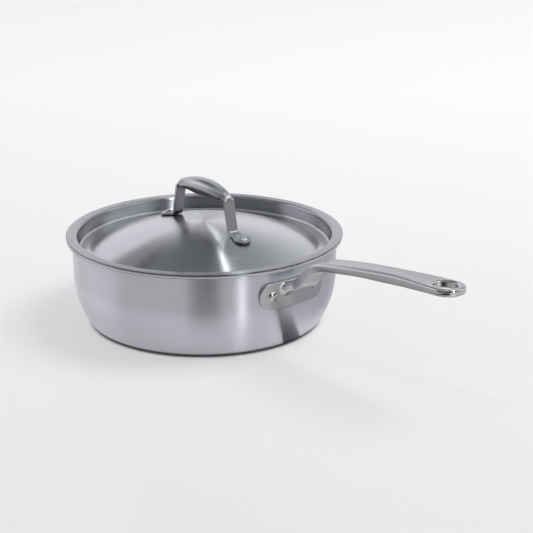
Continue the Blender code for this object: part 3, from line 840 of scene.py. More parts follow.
def grip_rings(pan, handle):
    """All rings of neck and grip, with a flared root and a round tip.

    Near the flange the rings' sides follow a quarter circle, and the rings are bent round the wall.
    """
    x, z, slope = grip_line(pan, handle)
    tip = handle_reach(pan, handle) - handle.tip_width / 2
    knee = x[0] + handle.root_bend * math.sin(handle.neck_slope)
    knee += handle.neck_length * math.cos(handle.neck_slope)
    neck = (x[0] + knee) / 2
    places = (neck, knee, knee + handle.knee_to_wide, knee + handle.knee_to_waist, tip)
    widths = (handle.neck_width, handle.neck_width, handle.grip_width, handle.waist_width,
              handle.tip_width)
    thick_places = (x[0], neck, knee, knee + handle.knee_to_thin,
                    knee + handle.knee_to_thin + handle.thin_length,
                    knee + handle.knee_to_waist, tip)
    thicks = (handle.root_thickness, handle.neck_thickness, handle.knee_thickness,
              handle.grip_thickness, handle.grip_thickness, handle.swell_thickness,
              handle.tip_thickness)
    turn = np.linspace(0.0, ROUND_END, TIP_POINTS)
    end = tip + handle.tip_width / 2 * np.sin(turn)
    body = x[x < tip]
    flange = flange_radius(pan, handle)
    quarter = np.linspace(0.0, math.pi / 2, ROOT_POINTS)
    flare_start = flange - handle.sink
    root = flare_start + handle.flare_below * (1.0 - np.sin(quarter))
    body = np.unique(np.concatenate([body, root]))
    along = np.concatenate([body, end])
    height = np.interp(along, x, z)
    rise = np.interp(along, x, slope)
    rounding = np.concatenate([np.ones(len(body)), np.cos(turn)])
    fullness = np.concatenate([np.ones(len(body)), (1 - np.sin(turn) ** 10) ** 0.25])
    width = smooth_blend(places, widths, along) * rounding
    thickness = smooth_blend(thick_places, thicks, along) * fullness
    dish = smooth_blend((knee, knee + handle.knee_bend / 2), (0.0, handle.dish), along) * rounding
    height = height - handle.tip_thickness * (1 - fullness) / 2
    grip_places = (knee, knee + handle.knee_to_thin, knee + handle.knee_to_waist,
                   tip - handle.tip_width / 4)
    shoulder = smooth_blend(grip_places, (handle.edge_round, handle.shoulder, handle.shoulder,
                                          handle.tip_round), along) * rounding ** 0.25
    drop = smooth_blend(grip_places, (handle.edge_round, handle.shoulder_drop,
                                      handle.shoulder_drop, handle.tip_round), along)
    rise_over = smooth_blend(grip_places, (0.0, handle.grip_rise, handle.grip_rise,
                                           handle.tip_rise), along) * rounding ** 0.25
    height = height + rise_over
    thickness = thickness + rise_over
    flares = []
    for radius in (handle.flare, handle.flare_below):
        left = np.clip(1.0 - (along - flare_start) / radius, 0.0, 1.0)
        flares.append(radius * (1.0 - np.sqrt(1.0 - left ** 2)))
    rings = grip_sections((along, height, rise), width, thickness, dish, shoulder, drop, flares)
    near = 1.0 - smooth_blend((flange, flange + 2 * handle.flare), (0.0, 1.0), along)
    bend = np.sqrt(flange ** 2 - np.minimum(np.abs(rings[:, :, 1]), flange / 2) ** 2) - flange
    rings[:, :, 0] += bend * near[:, None]
    return rings


def flange_mesh(pan, handle):
    """The curved flange: a flat bar with round ends and edges, bent round the wall.

    A section through the bar's thickness is carried round the outline of a stadium, then the
    plane (along, up, out) is wrapped on the wall's cylinder.
    """
    inner = wall_radius(pan) + handle.seat_gap
    outer = inner + handle.flange_thickness
    end = handle.flange_height / 2
    straight = handle.rivet_spacing / 2
    edge = handle.flange_edge
    turn = np.linspace(math.pi / 2, 3 * math.pi / 2, FLANGE_END_POINTS)
    left = np.stack([-straight + end * np.cos(turn), end * np.sin(turn)], axis=1)
    bottom_x = np.linspace(-straight, straight, FLANGE_SIDE_POINTS)[1:-1]
    bottom = np.stack([bottom_x, np.full_like(bottom_x, -end)], axis=1)
    outline = np.concatenate([left, bottom, -left, -bottom])
    direction = np.concatenate([
        np.stack([np.cos(turn), np.sin(turn)], axis=1),
        np.tile([0.0, -1.0], (len(bottom), 1)),
        -np.stack([np.cos(turn), np.sin(turn)], axis=1),
        np.tile([0.0, 1.0], (len(bottom), 1)),
    ])
    quarter = np.linspace(0.0, math.pi / 2, FLANGE_EDGE_POINTS)
    upper_inset = np.concatenate([
        [end * share for share in FLANGE_FACE_INSETS],
        edge * (1 - np.sin(quarter)),
    ])
    inset = np.concatenate([upper_inset, upper_inset[::-1]])
    rounding = edge * (1 - np.cos(quarter))
    out = np.concatenate([
        [outer, outer],
        outer - rounding,
        inner + rounding[::-1],
        [inner, inner],
    ])
    plane = outline[None] - direction[None] * inset[:, None, None]
    angle_round = plane[..., 0] / outer
    radius = out[:, None]
    rings = np.stack([
        radius * np.cos(angle_round),
        radius * np.sin(angle_round),
        plane[..., 1] + pan.height - handle.flange_below_lip,
    ], axis=2)
    return lofted_mesh("flange", rings, strip_from=FLANGE_END_POINTS // 2)


def hole_mesh(pan, handle):
    """The hang hole's cutter: an oval bar whose ends flare out by a quarter circle."""
    x, z, slope = grip_line(pan, handle)
    middle = handle_reach(pan, handle) - handle.hole_to_tip
    height = float(np.interp(middle, x, z))
    tilt = float(np.interp(middle, x, slope))
    edge = handle.hole_round
    bottom = -handle.tip_thickness
    quarter = np.linspace(0.0, math.pi / 2, HOLE_EDGE_POINTS)
    top = edge * np.sin(quarter) - edge
    flare = edge * (1 - np.cos(quarter))
    up = np.concatenate([[bottom - HOLE_OVERSHOOT], bottom - top[::-1], top, [HOLE_OVERSHOOT]])
    out = np.concatenate([[edge * 3], flare[::-1], flare, [edge * 3]])
    turn = np.linspace(0.0, 2 * math.pi, HOLE_POINTS, endpoint=False)
    rx = handle.hole_length / 2 + out[:, None]
    ry = handle.hole_width / 2 + out[:, None]
    px = rx * np.cos(turn)
    py = ry * np.sin(turn)
    pz = np.repeat(up[:, None], len(turn), axis=1)
    rings = np.stack([
        middle + px * math.cos(tilt) - pz * math.sin(tilt),
        py,
        height + px * math.sin(tilt) + pz * math.cos(tilt),
    ], axis=2)
    return lofted_mesh("hole", rings)


# The lid

# Steps round the axis, then of the profile's arcs
LID_STEPS = 440
DOME_STEPS = 60
DOME_BLEND_STEPS = 12
FOLD_STEPS = 14
LID_EDGE_STEPS = 10


def lid_sizes(context):
    """The lid's derived sizes: flange height, wall radius and the dome's circle."""
    pan, lid = context.scene.saucier_pan, context.scene.saucier_lid
    handle = context.scene.saucier_pan_handle
    top = pan.height + handle.seat_gap + lid.sheet
    wall = wall_radius(pan) - pan_wall(pan) - lid.fit - lid.sheet
    foot = wall - lid.fillet - lid.groove_flat
    height = lid.dome_rise + lid.depth
    radius = (foot * foot + height * height) / (2 * height) - lid.dome_blend
    turn = math.asin(foot / (radius + lid.dome_blend))
    return top, wall, radius, turn, top + lid.dome_rise - radius


def lid_face(context, depth):
    """The lid's section a depth under its top face, from the axis to the flange.

    The dome's arc, an arc into the groove's flat, a fillet up the drop wall and a fold outward.
    """
    lid = context.scene.saucier_lid
    top, wall, radius, turn, centre = lid_sizes(context)
    reach = radius + lid.dome_blend
    blend = (reach * math.sin(turn), centre + reach * math.cos(turn))
    fillet = (wall - lid.fillet, top - lid.depth + lid.fillet)
    fold = (wall + lid.fold, top - lid.fold)
    right = math.pi / 2
    return np.concatenate([
        arc((0.0, centre), radius - depth, right, right - turn, DOME_STEPS),
        arc(blend, lid.dome_blend + depth, 3 * right - turn, 3 * right, DOME_BLEND_STEPS)[1:],
        arc(fillet, lid.fillet + depth, 3 * right, 4 * right, FOLD_STEPS),
        arc(fold, lid.fold - depth, 2 * right, right, FOLD_STEPS),
    ])


def on_dome(context, height):
    """The point (x, z) a height above the dome along the rivet's axis, and that axis's tilt."""
    lid_handle = context.scene.saucier_lid_handle
    sizes = lid_sizes(context)
    radius, centre = sizes[2], sizes[4]
    tilt = math.asin(lid_handle.rivet_spacing / 2 / radius)
    reach = radius + height
    return reach * math.sin(tilt), centre + reach * math.cos(tilt), tilt


# The lid handle

# Points along the strap's line and across it
FOOT_POINTS = 24
FOOT_BEND_POINTS = 14
LEG_POINTS = 16
LEG_BEND_STEPS = 29
ARCH_STEPS = 49
CROWN_POINTS = 14
ARCH_EDGE_POINTS = 8
ARCH_BELLY_POINTS = 16
UNDERSIDE_POINTS = 4


def strap_path(context):
    """Half of the strap's outer line as arrays x, z, direction, width, side and crown.

    The foot's end and its tongue lie on the dome's tangent, a small arc turns up the leg, a
    larger one turns into the arch, and the arch's ridge is one circle to the middle.
    """
    size = context.scene.saucier_lid_handle
    gap = context.scene.saucier_pan_handle.seat_gap
    top = lid_sizes(context)[0]
    foot_x, foot_z, tilt = on_dome(context, gap + size.foot_thickness)
    arch_z = top + size.rise - size.arch_radius
    parts = []

    def foot(reach, width):
        flat = np.zeros_like(reach)
        parts.append([foot_x + reach * math.cos(tilt), foot_z - reach * math.sin(tilt),
                      flat + math.pi - tilt, width, flat + size.foot_thickness, flat])

    turn = np.linspace(ROUND_END, 0.0, FOOT_POINTS)
    foot(size.foot_width / 2 * np.sin(turn), size.foot_width * np.cos(turn))
    bend_x = size.foot_span / 2
    bend_z = foot_z + (foot_x - bend_x) * math.tan(tilt)
    leg = math.pi / 2 + size.leg_lean
    into = math.pi - tilt
    turn_back = into - leg
    inset = size.foot_bend * math.tan(turn_back / 2)
    tongue = math.hypot(foot_x - bend_x, foot_z - bend_z) - inset
    share = np.linspace(0.0, 1.0, FOOT_POINTS)[1:-1]
    taper = (1 + np.cos(math.pi * share)) / 2
    foot(-tongue * share, size.leg_width + (size.foot_width - size.leg_width) * taper)
    start_x = bend_x - inset * math.cos(into)
    start_z = bend_z - inset * math.sin(into)
    centre_x = start_x + size.foot_bend * math.sin(into)
    centre_z = start_z - size.foot_bend * math.cos(into)
    share = np.linspace(0.0, 1.0, FOOT_BEND_POINTS)
    turn = into - turn_back * share
    side = size.foot_thickness + (size.leg_thickness - size.foot_thickness) * share
    flat = np.zeros_like(share)
    parts.append([centre_x - size.foot_bend * np.sin(turn), centre_z + size.foot_bend * np.cos(turn),
                  turn, flat + size.leg_width, side, flat])
    lean = size.leg_lean
    x = bend_x - size.shoulder_bend * math.cos(lean)
    z = bend_z - size.shoulder_bend * math.sin(lean) - arch_z
    along = z * math.cos(lean) - x * math.sin(lean)
    short = (size.arch_radius - size.shoulder_bend) ** 2 - x * x - z * z
    run = math.sqrt(along * along + short) - along
    centre = (x - run * math.sin(lean), z + run * math.cos(lean) + arch_z)
    touch = math.atan2(centre[1] - arch_z, centre[0])
    bend_turn = np.linspace(lean, touch, LEG_BEND_STEPS + 1)
    bend_points = arc(centre, size.shoulder_bend, lean, touch, LEG_BEND_STEPS)
    arch_turn = np.linspace(touch, math.pi / 2, ARCH_STEPS + 1)[1:]
    arch_points = arc((0.0, arch_z), size.arch_radius, touch, math.pi / 2, ARCH_STEPS)[1:]
    leg_foot_x, leg_foot_z = parts[-1][0][-1], parts[-1][1][-1]
    share = np.linspace(0.0, 1.0, LEG_POINTS)[1:-1]
    leg_x = leg_foot_x + (bend_points[0, 0] - leg_foot_x) * share
    leg_z = leg_foot_z + (bend_points[0, 1] - leg_foot_z) * share
    flat = np.zeros_like(share)
    parts.append([leg_x, leg_z, flat + leg, flat + size.leg_width, flat + size.leg_thickness, flat])
    ridge = np.concatenate([bend_points, arch_points])
    direction = np.concatenate([bend_turn, arch_turn]) + math.pi / 2
    fullness = 1 - (ridge[:, 0] / ridge[0, 0]) ** 2
    width = size.leg_width + (size.arch_width - size.leg_width) * fullness
    side = size.leg_thickness + (size.arch_side - size.leg_thickness) * fullness ** 1.8
    crown = size.arch_crown * (1 - (ridge[:, 0] / ridge[0, 0]) ** 20)
    parts.append([ridge[:, 0], ridge[:, 1], direction, width, side, crown])
    return [np.concatenate([part[i] for part in parts]) for i in range(6)]


def strap_rings(context):
    """Rings (stations, corners, 3) of the whole strap, square to its outer line.

    Across the top the crown falls with the cube of the distance from the ridge to a round edge,
    and the belly curves in under it as a quarter of an ellipse to the flat bottom.
    """
    size = context.scene.saucier_lid_handle
    x, z, direction, width, side, crown = strap_path(context)
    x = np.concatenate([x, -x[-2::-1]])
    direction = np.concatenate([direction, 2 * math.pi - direction[-2::-1]])
    z, width, side, crown = (np.concatenate([a, a[-2::-1]]) for a in (z, width, side, crown))
    half = width / 2
    share = np.clip((side - size.leg_thickness) / (size.arch_side - size.leg_thickness), 0.0, 1.0)
    edge = np.minimum(size.leg_edge + (size.arch_edge - size.leg_edge) * share, half / 2)
    belly = np.minimum(size.leg_edge + (size.arch_belly - size.leg_edge) * share, half / 2)
    part = np.linspace(0.0, 1.0, CROWN_POINTS)[:-1, None]
    turn = np.linspace(math.pi / 2, 0.0, ARCH_EDGE_POINTS)[:, None]
    low = np.linspace(0.0, -math.pi / 2, ARCH_BELLY_POINTS)[:, None]
    tall = belly + np.maximum(side - 2 * edge - belly, 0.0) * share
    rest = np.linspace(0.75, 0.0, UNDERSIDE_POINTS)[:, None]
    across = np.concatenate([
        part * (half - edge),
        half - edge + edge * np.cos(turn),
        half - belly + belly * np.cos(low),
        rest * (half - belly),
    ]).T
    height = np.concatenate([
        -crown * part ** 3,
        -crown - edge + edge * np.sin(turn),
        tall - crown - side + tall * np.sin(low),
        -crown - side + 0.0 * rest,
    ]).T
    return whole_rings(x, z, -np.sin(direction), -np.cos(direction), across, height)


# The stage

CAMERA_TURN = math.radians(48.4)
CAMERA_TILT = math.radians(18.754)
CAMERA_RIGHT = Vector((math.cos(CAMERA_TURN), math.sin(CAMERA_TURN), 0.0))
LEVEL_BACK = Vector((math.sin(CAMERA_TURN), -math.cos(CAMERA_TURN), 0.0))
UP = Vector((0.0, 0.0, 1.0))
CAMERA_UP = UP * math.cos(CAMERA_TILT) - LEVEL_BACK * math.sin(CAMERA_TILT)
CAMERA_AHEAD = -LEVEL_BACK * math.cos(CAMERA_TILT) - UP * math.sin(CAMERA_TILT)
CAMERA_TARGET = UP * 82.4 * MM
CAMERA_PLACE = CAMERA_TARGET + (CAMERA_RIGHT * 57.1 - CAMERA_UP * 33.2 - CAMERA_AHEAD * 1368.2) * MM
FOCAL_PIXELS = 1480.0
IMAGE_PIXELS = 533.0
SENSOR_WIDTH = 36.0
FLOOR_HALF = 6.0
FLOOR_LEVEL = -0.2 * MM
CARD_LEVEL = -0.1 * MM

SPECKLE_SCALE = 3.0
SPECKLE = 0.03
FIBRE_SCALE = 400.0

# Cards on the table: width, distance of the near edge, length (mm), turn (degrees) and tone
CARDS = {
    # The first card is a painted shadow: a dark sheet under the handle in place of its shadow on the
    # table, seen only in the metal.
    "handle_shadow_card": (24.0, 99.06, 230.0, 7.5, 0.04),
    "board": (88.0, 212.0, 380.0, 1.5, 0.12),
    "tip_card": (285.0, 215.0, 450.0, -13.0, 0.03),
    "side_card": (340.0, 266.0, 230.0, 35.4, 0.5),
}
SIDE_CARD_CENTRE = -161 * MM

# Zones of the studio: where each rises and falls again over its turn, then over its tilt
FRONT = (((-105.0, -70.0), (70.0, 105.0)), ((50.0, 62.0),))
ROOM = (((-8.5, -5.5), (5.0, 11.0)), ((52.0, 62.0),))
CREASE = (((-66.0, -56.0), (-40.0, -32.0)), ((13.0, 19.0), (34.0, 42.0)))
PANEL = (((-66.0, -56.0), (-44.0, -36.0)), ((38.0, 48.0), (74.0, 84.0)))
LINE = (((22.0, 32.0), (50.0, 60.0)), ((50.0, 53.0), (57.0, 60.0)))

# The dark ceiling: its turns, the strip's side of it, and its tilts with the end over the turn
CEILING_TURNS = ((-64.0, -30.0), (25.0, 95.0))
CEILING_BESIDE = (9.0, 13.0)
CEILING_TILTS = (3.0, 12.0)
CEILING_HALF_WAY = (25.0, 33.0)
CEILING_END = (-48.0, -36.0, 16.0, 58.0)
CEILING_FADE = (0.0, 8.0)

# The strip of light: its turn as two steps over its tilt, its edge, strength and tilts
STRIP_TURNS = ((12.0, 20.0, 7.2, 11.0), (25.0, 60.0, 0.0, 5.7))
STRIP_EDGE = (0.4, 1.4)
STRIP_LID = (25.0, 60.0)
STRIP_TOP = (12.0, 19.0, 2.8, 1.0)
STRIP_TILTS = ((2.0, 8.0), (70.0, 88.0))


def rectangle(start, end, half, height):
    """Corners of a level rectangle from start to end along X and half wide to either side."""
    return np.array([(start, -half, height), (end, -half, height), (end, half, height),
                     (start, half, height)])


def stage_sheet(name, corners, material):
    """Adds a level four-cornered sheet that belongs to the stage."""
    mesh = bpy.data.meshes.new(name)
    mesh.from_pydata(corners.tolist(), [], [(0, 1, 2, 3)])
    mesh.materials.append(material)
    item = new_object(name, mesh)
    return item


def add_floor(look, foot):
    """A wide pale table top just under the pan, which takes the whole shadow beside its foot."""
    material, finish, shader = new_material("table_top", Roughness=0.6)
    place = finish.place()
    speckle = finish.noise(place, SPECKLE_SCALE, 2.0)
    far = finish.node("ShaderNodeMapRange", None,
                      {"Value": finish.dot(place, -LEVEL_BACK), "From Min": -1.0, "From Max": 1.0})
    # Painted light fall-off: the table's colour is paler toward the back and darker toward the front.
    near_colour = opaque([value - look.floor_change for value in look.floor])
    far_colour = opaque([value + look.floor_change for value in look.floor])
    tone = finish.mix(far + (speckle - 0.5) * SPECKLE, near_colour, far_colour)
    finish.feed(shader.inputs["Base Color"], tone)
    glow = finish.node("ShaderNodeEmission", None, {"Color": tone})
    seen = finish.node("ShaderNodeLightPath", output=0)
    x, y = finish.axes(place)[:2]
    open_table = finish.step(from_axis(x, y), foot, foot + look.contact)
    share = seen.math("MAXIMUM", finish.mirrored()) * look.floor_glow * open_table
    lit = Wire(finish, shader.outputs[0])
    mixed = finish.node("ShaderNodeMixShader", None, {0: share, 1: lit, 2: glow})
    finish.feed(material.node_tree.nodes["Material Output"].inputs["Surface"], mixed)
    stage_sheet("floor", rectangle(-FLOOR_HALF, FLOOR_HALF, FLOOR_HALF, FLOOR_LEVEL), material)


def add_studio(look):
    """The studio as a world, laid out by the surface slope that mirrors each part to the camera.

    A slope is the half vector between a direction and the view: its turn is 0 degrees toward the
    camera and grows to the right, and its tilt is 0 degrees for level and 90 for upright metal.
    """
    world = bpy.data.worlds.new("studio")
    world.use_nodes = True
    bpy.context.scene.world = world
    finish = Finish(world.node_tree)
    direction = finish.node("ShaderNodeTexCoord", output=0)
    apart = finish.node("ShaderNodeVectorMath", {"operation": "SUBTRACT"},
                        {0: direction, 1: CAMERA_AHEAD})
    half = finish.node("ShaderNodeVectorMath", {"operation": "NORMALIZE"}, {0: apart})
    right, back, up = (finish.dot(half, axis) for axis in (CAMERA_RIGHT, LEVEL_BACK, UP))
    turn = right.math("ARCTAN2", back) * math.degrees(1.0)
    tilt = up.math("ARCCOSINE") * math.degrees(1.0)

    def zone(turns, tilts):
        return finish.window(turn, *turns) * finish.window(tilt, *tilts)

    ceiling = finish.step(turn, *CEILING_BESIDE, look.ceiling_dark, look.ceiling_right)
    ceiling = ceiling * finish.window(turn, *CEILING_TURNS) * finish.step(tilt, *CEILING_TILTS)
    past_end = tilt - finish.step(turn, *CEILING_END)
    ceiling = ceiling * finish.step(past_end, *CEILING_FADE, 1.0, 0.0)
    ceiling = ceiling * finish.step(tilt, *CEILING_HALF_WAY, 1.0, look.ceiling_low)
    strip_turn = finish.step(tilt, *STRIP_TURNS[0]) + finish.step(tilt, *STRIP_TURNS[1])
    strip = finish.step((turn - strip_turn).math("ABSOLUTE"), *STRIP_EDGE, 1.0, 0.0)
    strip = strip * finish.step(tilt, *STRIP_LID, look.strip_low, 1.0)
    strip = strip * finish.step(tilt, *STRIP_TOP) * finish.window(tilt, *STRIP_TILTS)
    light = 1.0 - ceiling
    for dark, share in ((FRONT, look.front_dark), (ROOM, look.room_dark), (CREASE, look.crease_dark)):
        light = light * (1.0 - zone(*dark) * share)
    light = light * look.studio_level + strip * look.strip_level
    light = light + zone(*PANEL) * look.panel_level + zone(*LINE) * look.line_level
    mirrored = finish.mirrored()
    shade = finish.mix(ceiling, opaque(look.studio), opaque(look.ceiling))
    background = world.node_tree.nodes["Background"]
    finish.feed(background.inputs["Color"], finish.mix(mirrored, WHITE, shade))
    finish.feed(background.inputs["Strength"],
                light * mirrored + (1.0 - mirrored) * look.table_light)


def add_lamp(look):
    """A wide softbox that only lights the table and the shadows on it."""
    lamp = bpy.data.lights.new("softbox", "AREA")
    lamp.shape = "SQUARE"
    lamp.size = look.lamp_size
    lamp.energy = look.lamp_power
    turn = CAMERA_TURN + look.lamp_turn
    level_aim = Vector((math.sin(turn), -math.cos(turn), 0.0))
    aim = level_aim * math.cos(look.lamp_rise) + UP * math.sin(look.lamp_rise)
    item = new_object("softbox", lamp)
    item.location = CAMERA_TARGET + aim * look.lamp_reach
    item.rotation_euler = aim.to_track_quat("Z", "Y").to_euler()
    item.visible_glossy = False


def add_card(name, turned_from, centre):
    """A dark or grey card that lies on the table, seen only where the metal mirrors it.

    It runs outward from an upright axis that stands a distance along X from the pan's centre, and
    is turned about that axis.
    """
    width, start, reach, turn, tone = CARDS[name]
    material, finish, shader = new_material(name, Roughness=0.9)
    fibres = finish.noise(finish.place(), FIBRE_SCALE)
    dark, pale = (opaque((share * tone, share * tone, (share + 0.05) * tone)) for share in (0.8, 1.2))
    finish.feed(shader.inputs["Base Color"], finish.mix(fibres, dark, pale))
    corners = rectangle(start * MM, (start + reach) * MM, width / 2 * MM, CARD_LEVEL)
    places = about_z(corners, turned_from + math.radians(turn)) + [centre, 0.0, 0.0]
    card = stage_sheet(name, places, material)
    card.visible_camera = False
    card.visible_diffuse = False
    card.visible_shadow = False


def add_camera():
    """The camera at the photograph's viewing angle."""
    data = bpy.data.cameras.new("camera")
    data.lens = FOCAL_PIXELS / IMAGE_PIXELS * SENSOR_WIDTH
    data.clip_start = 10 * MM
    camera = new_object("camera", data)
    camera.location = CAMERA_PLACE
    camera.rotation_euler = (math.pi / 2 - CAMERA_TILT, 0.0, CAMERA_TURN)
    bpy.context.scene.camera = camera


# Operators


class SAUCIER_OT_pan(bpy.types.Operator):
    """Builds the pan's outer skin, core and inner skin"""

    bl_idname = "saucier.pan"
    bl_label = "Build pan"

    def execute(self, context):
        pan = context.scene.saucier_pan
        look = context.scene.saucier_steel
        core_depth = pan.skin + pan.ply_gap
        inner_depth = core_depth + pan.core + pan.ply_gap
        # Painted shade: a painted contact shadow at the wall's foot, and the upright wall darker than
        # the belly.
        shades = (
            ("height", *FOOT_ZONE, look.foot_shade, 1.0),
            ("height", *(share * pan.height / 2 for share in BELLY_ZONE), 1.0, look.wall_shade),
        )
        outer = turned_metal("brushed_wall", look.wall, look.wall_roughness, look.brushing, shades)
        inner = turned_metal("brushed_inside", look.wall, look.wall_roughness, look.brushing)
        core = turned_metal("core_aluminium", look.core, roughness=0.5, brushing=0.3)
        core.node_tree.nodes["Principled BSDF"].inputs["Metallic"].default_value = look.core_metal
        for node, depth, thickness, material, slot in (
            ("pan_outer_ply", 0.0, pan.skin, outer, "pan_skin"),
            ("pan_core", core_depth, pan.core, core, "pan_core_sheet"),
            ("pan_inner_ply", inner_depth, pan.skin, inner, "pan_lining"),
        ):
            mesh = turned_mesh(node, pan_sheet(pan, depth, thickness), PAN_STEPS)
            place_piece(node.replace("ply", "skin") + "_fine", mesh, material, "pan", node)
        return {"FINISHED"}


class SAUCIER_OT_pan_rivets(bpy.types.Operator):
    """Builds the two rivets of the pan handle"""

    bl_idname = "saucier.pan_rivets"
    bl_label = "Build pan rivets"

    def execute(self, context):
        pan = context.scene.saucier_pan
        handle = context.scene.saucier_pan_handle
        look = context.scene.saucier_steel
        wall = wall_radius(pan)
        flange = flange_radius(pan, handle)
        sag = handle.inner_head ** 2 / (8 * wall)
        inside = wall - pan_wall(pan) - sag - handle.seat_gap
        height = pan.height - handle.flange_below_lip
        heads = (
            (handle.outer_head, handle.outer_rise, flange, 1),
            (handle.inner_head, handle.inner_rise, inside, -1),
        )
        material = polished_metal("polished_rivets", look.rivet, look.polish_roughness)
        for side, turn in (("left", -1), ("right", 1)):
            mesh = turned_mesh("rivet", rivet_outline(handle.rivet_shank, heads), RIVET_STEPS)
            move_mesh(mesh, turn * handle.rivet_spacing / 2 / flange, math.pi / 2, (0.0, 0.0, height))
            place_piece(f"pan_rivet_{side}_fine", mesh, material, "pan",
                        f"pan_rivet_{side}")
        return {"FINISHED"}


class SAUCIER_OT_pan_handle(bpy.types.Operator):
    """Builds the cast handle with its flange and hang hole"""

    bl_idname = "saucier.pan_handle"
    bl_label = "Build pan handle"

    def execute(self, context):
        pan = context.scene.saucier_pan
        handle = context.scene.saucier_pan_handle
        look = context.scene.saucier_steel
        grip = lofted_mesh("grip", grip_rings(pan, handle))
        mesh = combined("grip", grip, (
            (flange_mesh(pan, handle), "UNION"),
            (hole_mesh(pan, handle), "DIFFERENCE"),
        ))
        polish_from = handle_reach(pan, handle) - POLISHED_LENGTH * handle.hole_to_tip
        knee = pan.lip_radius + handle.neck_length
        # Painted shade levels: the top, the sides past the knee, the underside and the flange's
        # outward face are darkened.
        levels = (look.grip_top, look.grip_side, HANDLE_BELOW, look.plate)
        material = cast_metal("cast_handle_steel", look.cast, look.cast_roughness, levels, knee,
                              polish_from)
        place_piece("pan_handle_fine", mesh, material, "pan", "pan_handle")
        return {"FINISHED"}


class SAUCIER_OT_lid(bpy.types.Operator):
    """Builds the lid's pressed sheet"""

    bl_idname = "saucier.lid"
    bl_label = "Build lid"

    def execute(self, context):
        lid = context.scene.saucier_lid
        look = context.scene.saucier_steel
        top, wall = lid_sizes(context)[:2]
        edge = lid.sheet / 2
        radius = context.scene.saucier_pan.lip_radius + lid.overhang - edge
        outline = np.concatenate([
            lid_face(context, 0.0),
            arc((radius, top - edge), edge, math.pi / 2, -math.pi / 2, LID_EDGE_STEPS),
            lid_face(context, lid.sheet)[::-1],
        ])
        outline[0, 0] = 0.0
        outline[-1, 0] = 0.0
        mesh = turned_mesh("lid", outline, LID_STEPS)
        # Painted shade: the flange and drop wall are darkened, and a painted dark line runs along the
        # cut edge.
        shades = (
            ("radius", wall - lid.fillet / 2, wall, 1.0, look.flange_shade),
            ("radius", radius - edge / 4, radius + edge / 4, 1.0, look.edge_shade),
        )
        material = turned_metal("spun_lid", look.lid, look.lid_roughness, look.brushing, shades)
        place_piece("lid_sheet_fine", mesh, material, "lid", "lid")
        return {"FINISHED"}


class SAUCIER_OT_lid_handle(bpy.types.Operator):
    """Builds the lid's strap handle"""

    bl_idname = "saucier.lid_handle"
    bl_label = "Build lid handle"

    def execute(self, context):
        look = context.scene.saucier_steel
        mesh = lofted_mesh("strap", strap_rings(context))
        move_mesh(mesh, context.scene.saucier_lid.turn)
        smooth(mesh)
        # Painted shade levels: the strap's top is a little darker and its downward-facing belly is
        # much darker.
        levels = (look.strap_top, 1.0, look.strap_below, 1.0)
        material = cast_metal("strap_steel", look.strap, look.cast_roughness, levels)
        place_piece("lid_handle_fine", mesh, material, "lid", "lid_handle")
        return {"FINISHED"}


class SAUCIER_OT_lid_rivets(bpy.types.Operator):
    """Builds the two rivets of the lid handle"""

    bl_idname = "saucier.lid_rivets"
    bl_label = "Build lid rivets"

    def execute(self, context):
        size = context.scene.saucier_lid_handle
        lid = context.scene.saucier_lid
        handle = context.scene.saucier_pan_handle
        look = context.scene.saucier_steel
        gap = handle.seat_gap
        heads = (
            (size.top_head, size.top_rise, size.foot_thickness + 2 * gap, 1),
            (size.lower_head, size.lower_rise, -lid.sheet - 2 * gap, -1),
        )
        x, z, tilt = on_dome(context, 0.0)
        material = polished_metal("polished_lid_rivets", look.rivet, look.polish_roughness)
        for name, side in (("left", -1), ("right", 1)):
            mesh = turned_mesh("rivet", rivet_outline(handle.rivet_shank, heads), RIVET_STEPS)
            move_mesh(mesh, lid.turn, side * tilt, (side * x, 0.0, z))
            place_piece(f"lid_rivet_{name}_fine", mesh, material, "lid",
                        f"lid_rivet_{name}")
        return {"FINISHED"}


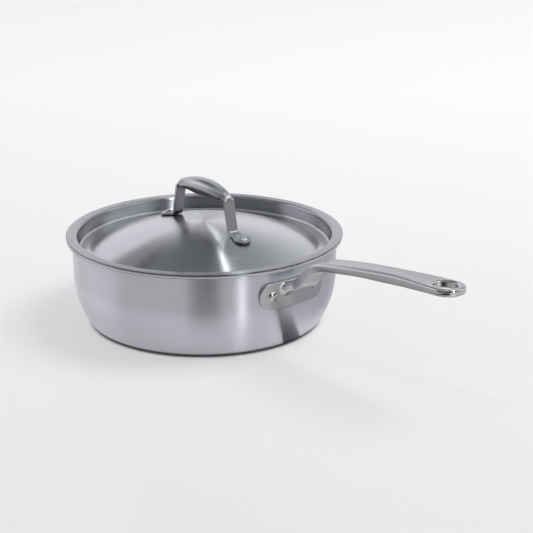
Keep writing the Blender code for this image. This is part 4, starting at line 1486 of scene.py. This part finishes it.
class SAUCIER_OT_stage(bpy.types.Operator):
    """Adds the floor, the studio's light and the camera"""

    bl_idname = "saucier.stage"
    bl_label = "Build stage"

    def execute(self, context):
        look = context.scene.saucier_stage
        pan = context.scene.saucier_pan
        handle = context.scene.saucier_pan_handle
        foot = pan_face(pan, 0.0, 0.0)[CORNER_STEPS // 2, 0]
        hole = handle_reach(pan, handle) - handle.hole_to_tip
        toward_camera = CAMERA_TURN - math.pi / 2
        add_floor(look, foot)
        add_studio(look)
        add_lamp(look)
        for name, turned_from, centre in (
            # The first card stands in for the handle's shadow on the table, a painted shadow that
            # only the metal mirrors.
            ("handle_shadow_card", 0.0, 0.0),
            ("board", toward_camera, 0.0),
            ("tip_card", toward_camera, hole),
            ("side_card", 0.0, SIDE_CARD_CENTRE),
        ):
            add_card(name, turned_from, centre)
        add_camera()
        context.scene.view_settings.view_transform = "Standard"
        return {"FINISHED"}


class SAUCIER_PT_sidebar(bpy.types.Panel):
    """Lists the operators and the sizes"""

    bl_label = "Saucier"
    bl_idname = "SAUCIER_PT_sidebar"
    bl_space_type = "VIEW_3D"
    bl_region_type = "UI"
    bl_category = "Saucier"

    def draw(self, context):
        for operator in OPERATORS:
            self.layout.operator(operator.bl_idname)
        for name, group in GROUPS:
            box = self.layout.box()
            box.label(text=group.__doc__)
            for field in group.__annotations__:
                box.prop(getattr(context.scene, name), field)


GROUPS = (
    ("saucier_pan", PanSizes),
    ("saucier_pan_handle", PanHandleSizes),
    ("saucier_lid", LidSizes),
    ("saucier_lid_handle", LidHandleSizes),
    ("saucier_steel", SteelLook),
    ("saucier_stage", StageLook),
)
OPERATORS = (
    SAUCIER_OT_pan,
    SAUCIER_OT_pan_rivets,
    SAUCIER_OT_pan_handle,
    SAUCIER_OT_lid,
    SAUCIER_OT_lid_handle,
    SAUCIER_OT_lid_rivets,
    SAUCIER_OT_stage,
)


def register():
    """Registers the classes and hangs the property groups on the scene."""
    for name, group in GROUPS:
        bpy.utils.register_class(group)
        setattr(bpy.types.Scene, name, bpy.props.PointerProperty(type=group))
    for item in (*OPERATORS, SAUCIER_PT_sidebar):
        bpy.utils.register_class(item)


def unregister():
    """Takes the classes and the property groups away again."""
    for item in (SAUCIER_PT_sidebar, *reversed(OPERATORS)):
        bpy.utils.unregister_class(item)
    for name, group in reversed(GROUPS):
        delattr(bpy.types.Scene, name)
        bpy.utils.unregister_class(group)


def main():
    register()
    for operator in OPERATORS:
        family, name = operator.bl_idname.split(".")
        getattr(getattr(bpy.ops, family), name)()


if __name__ == "__main__":
    main()
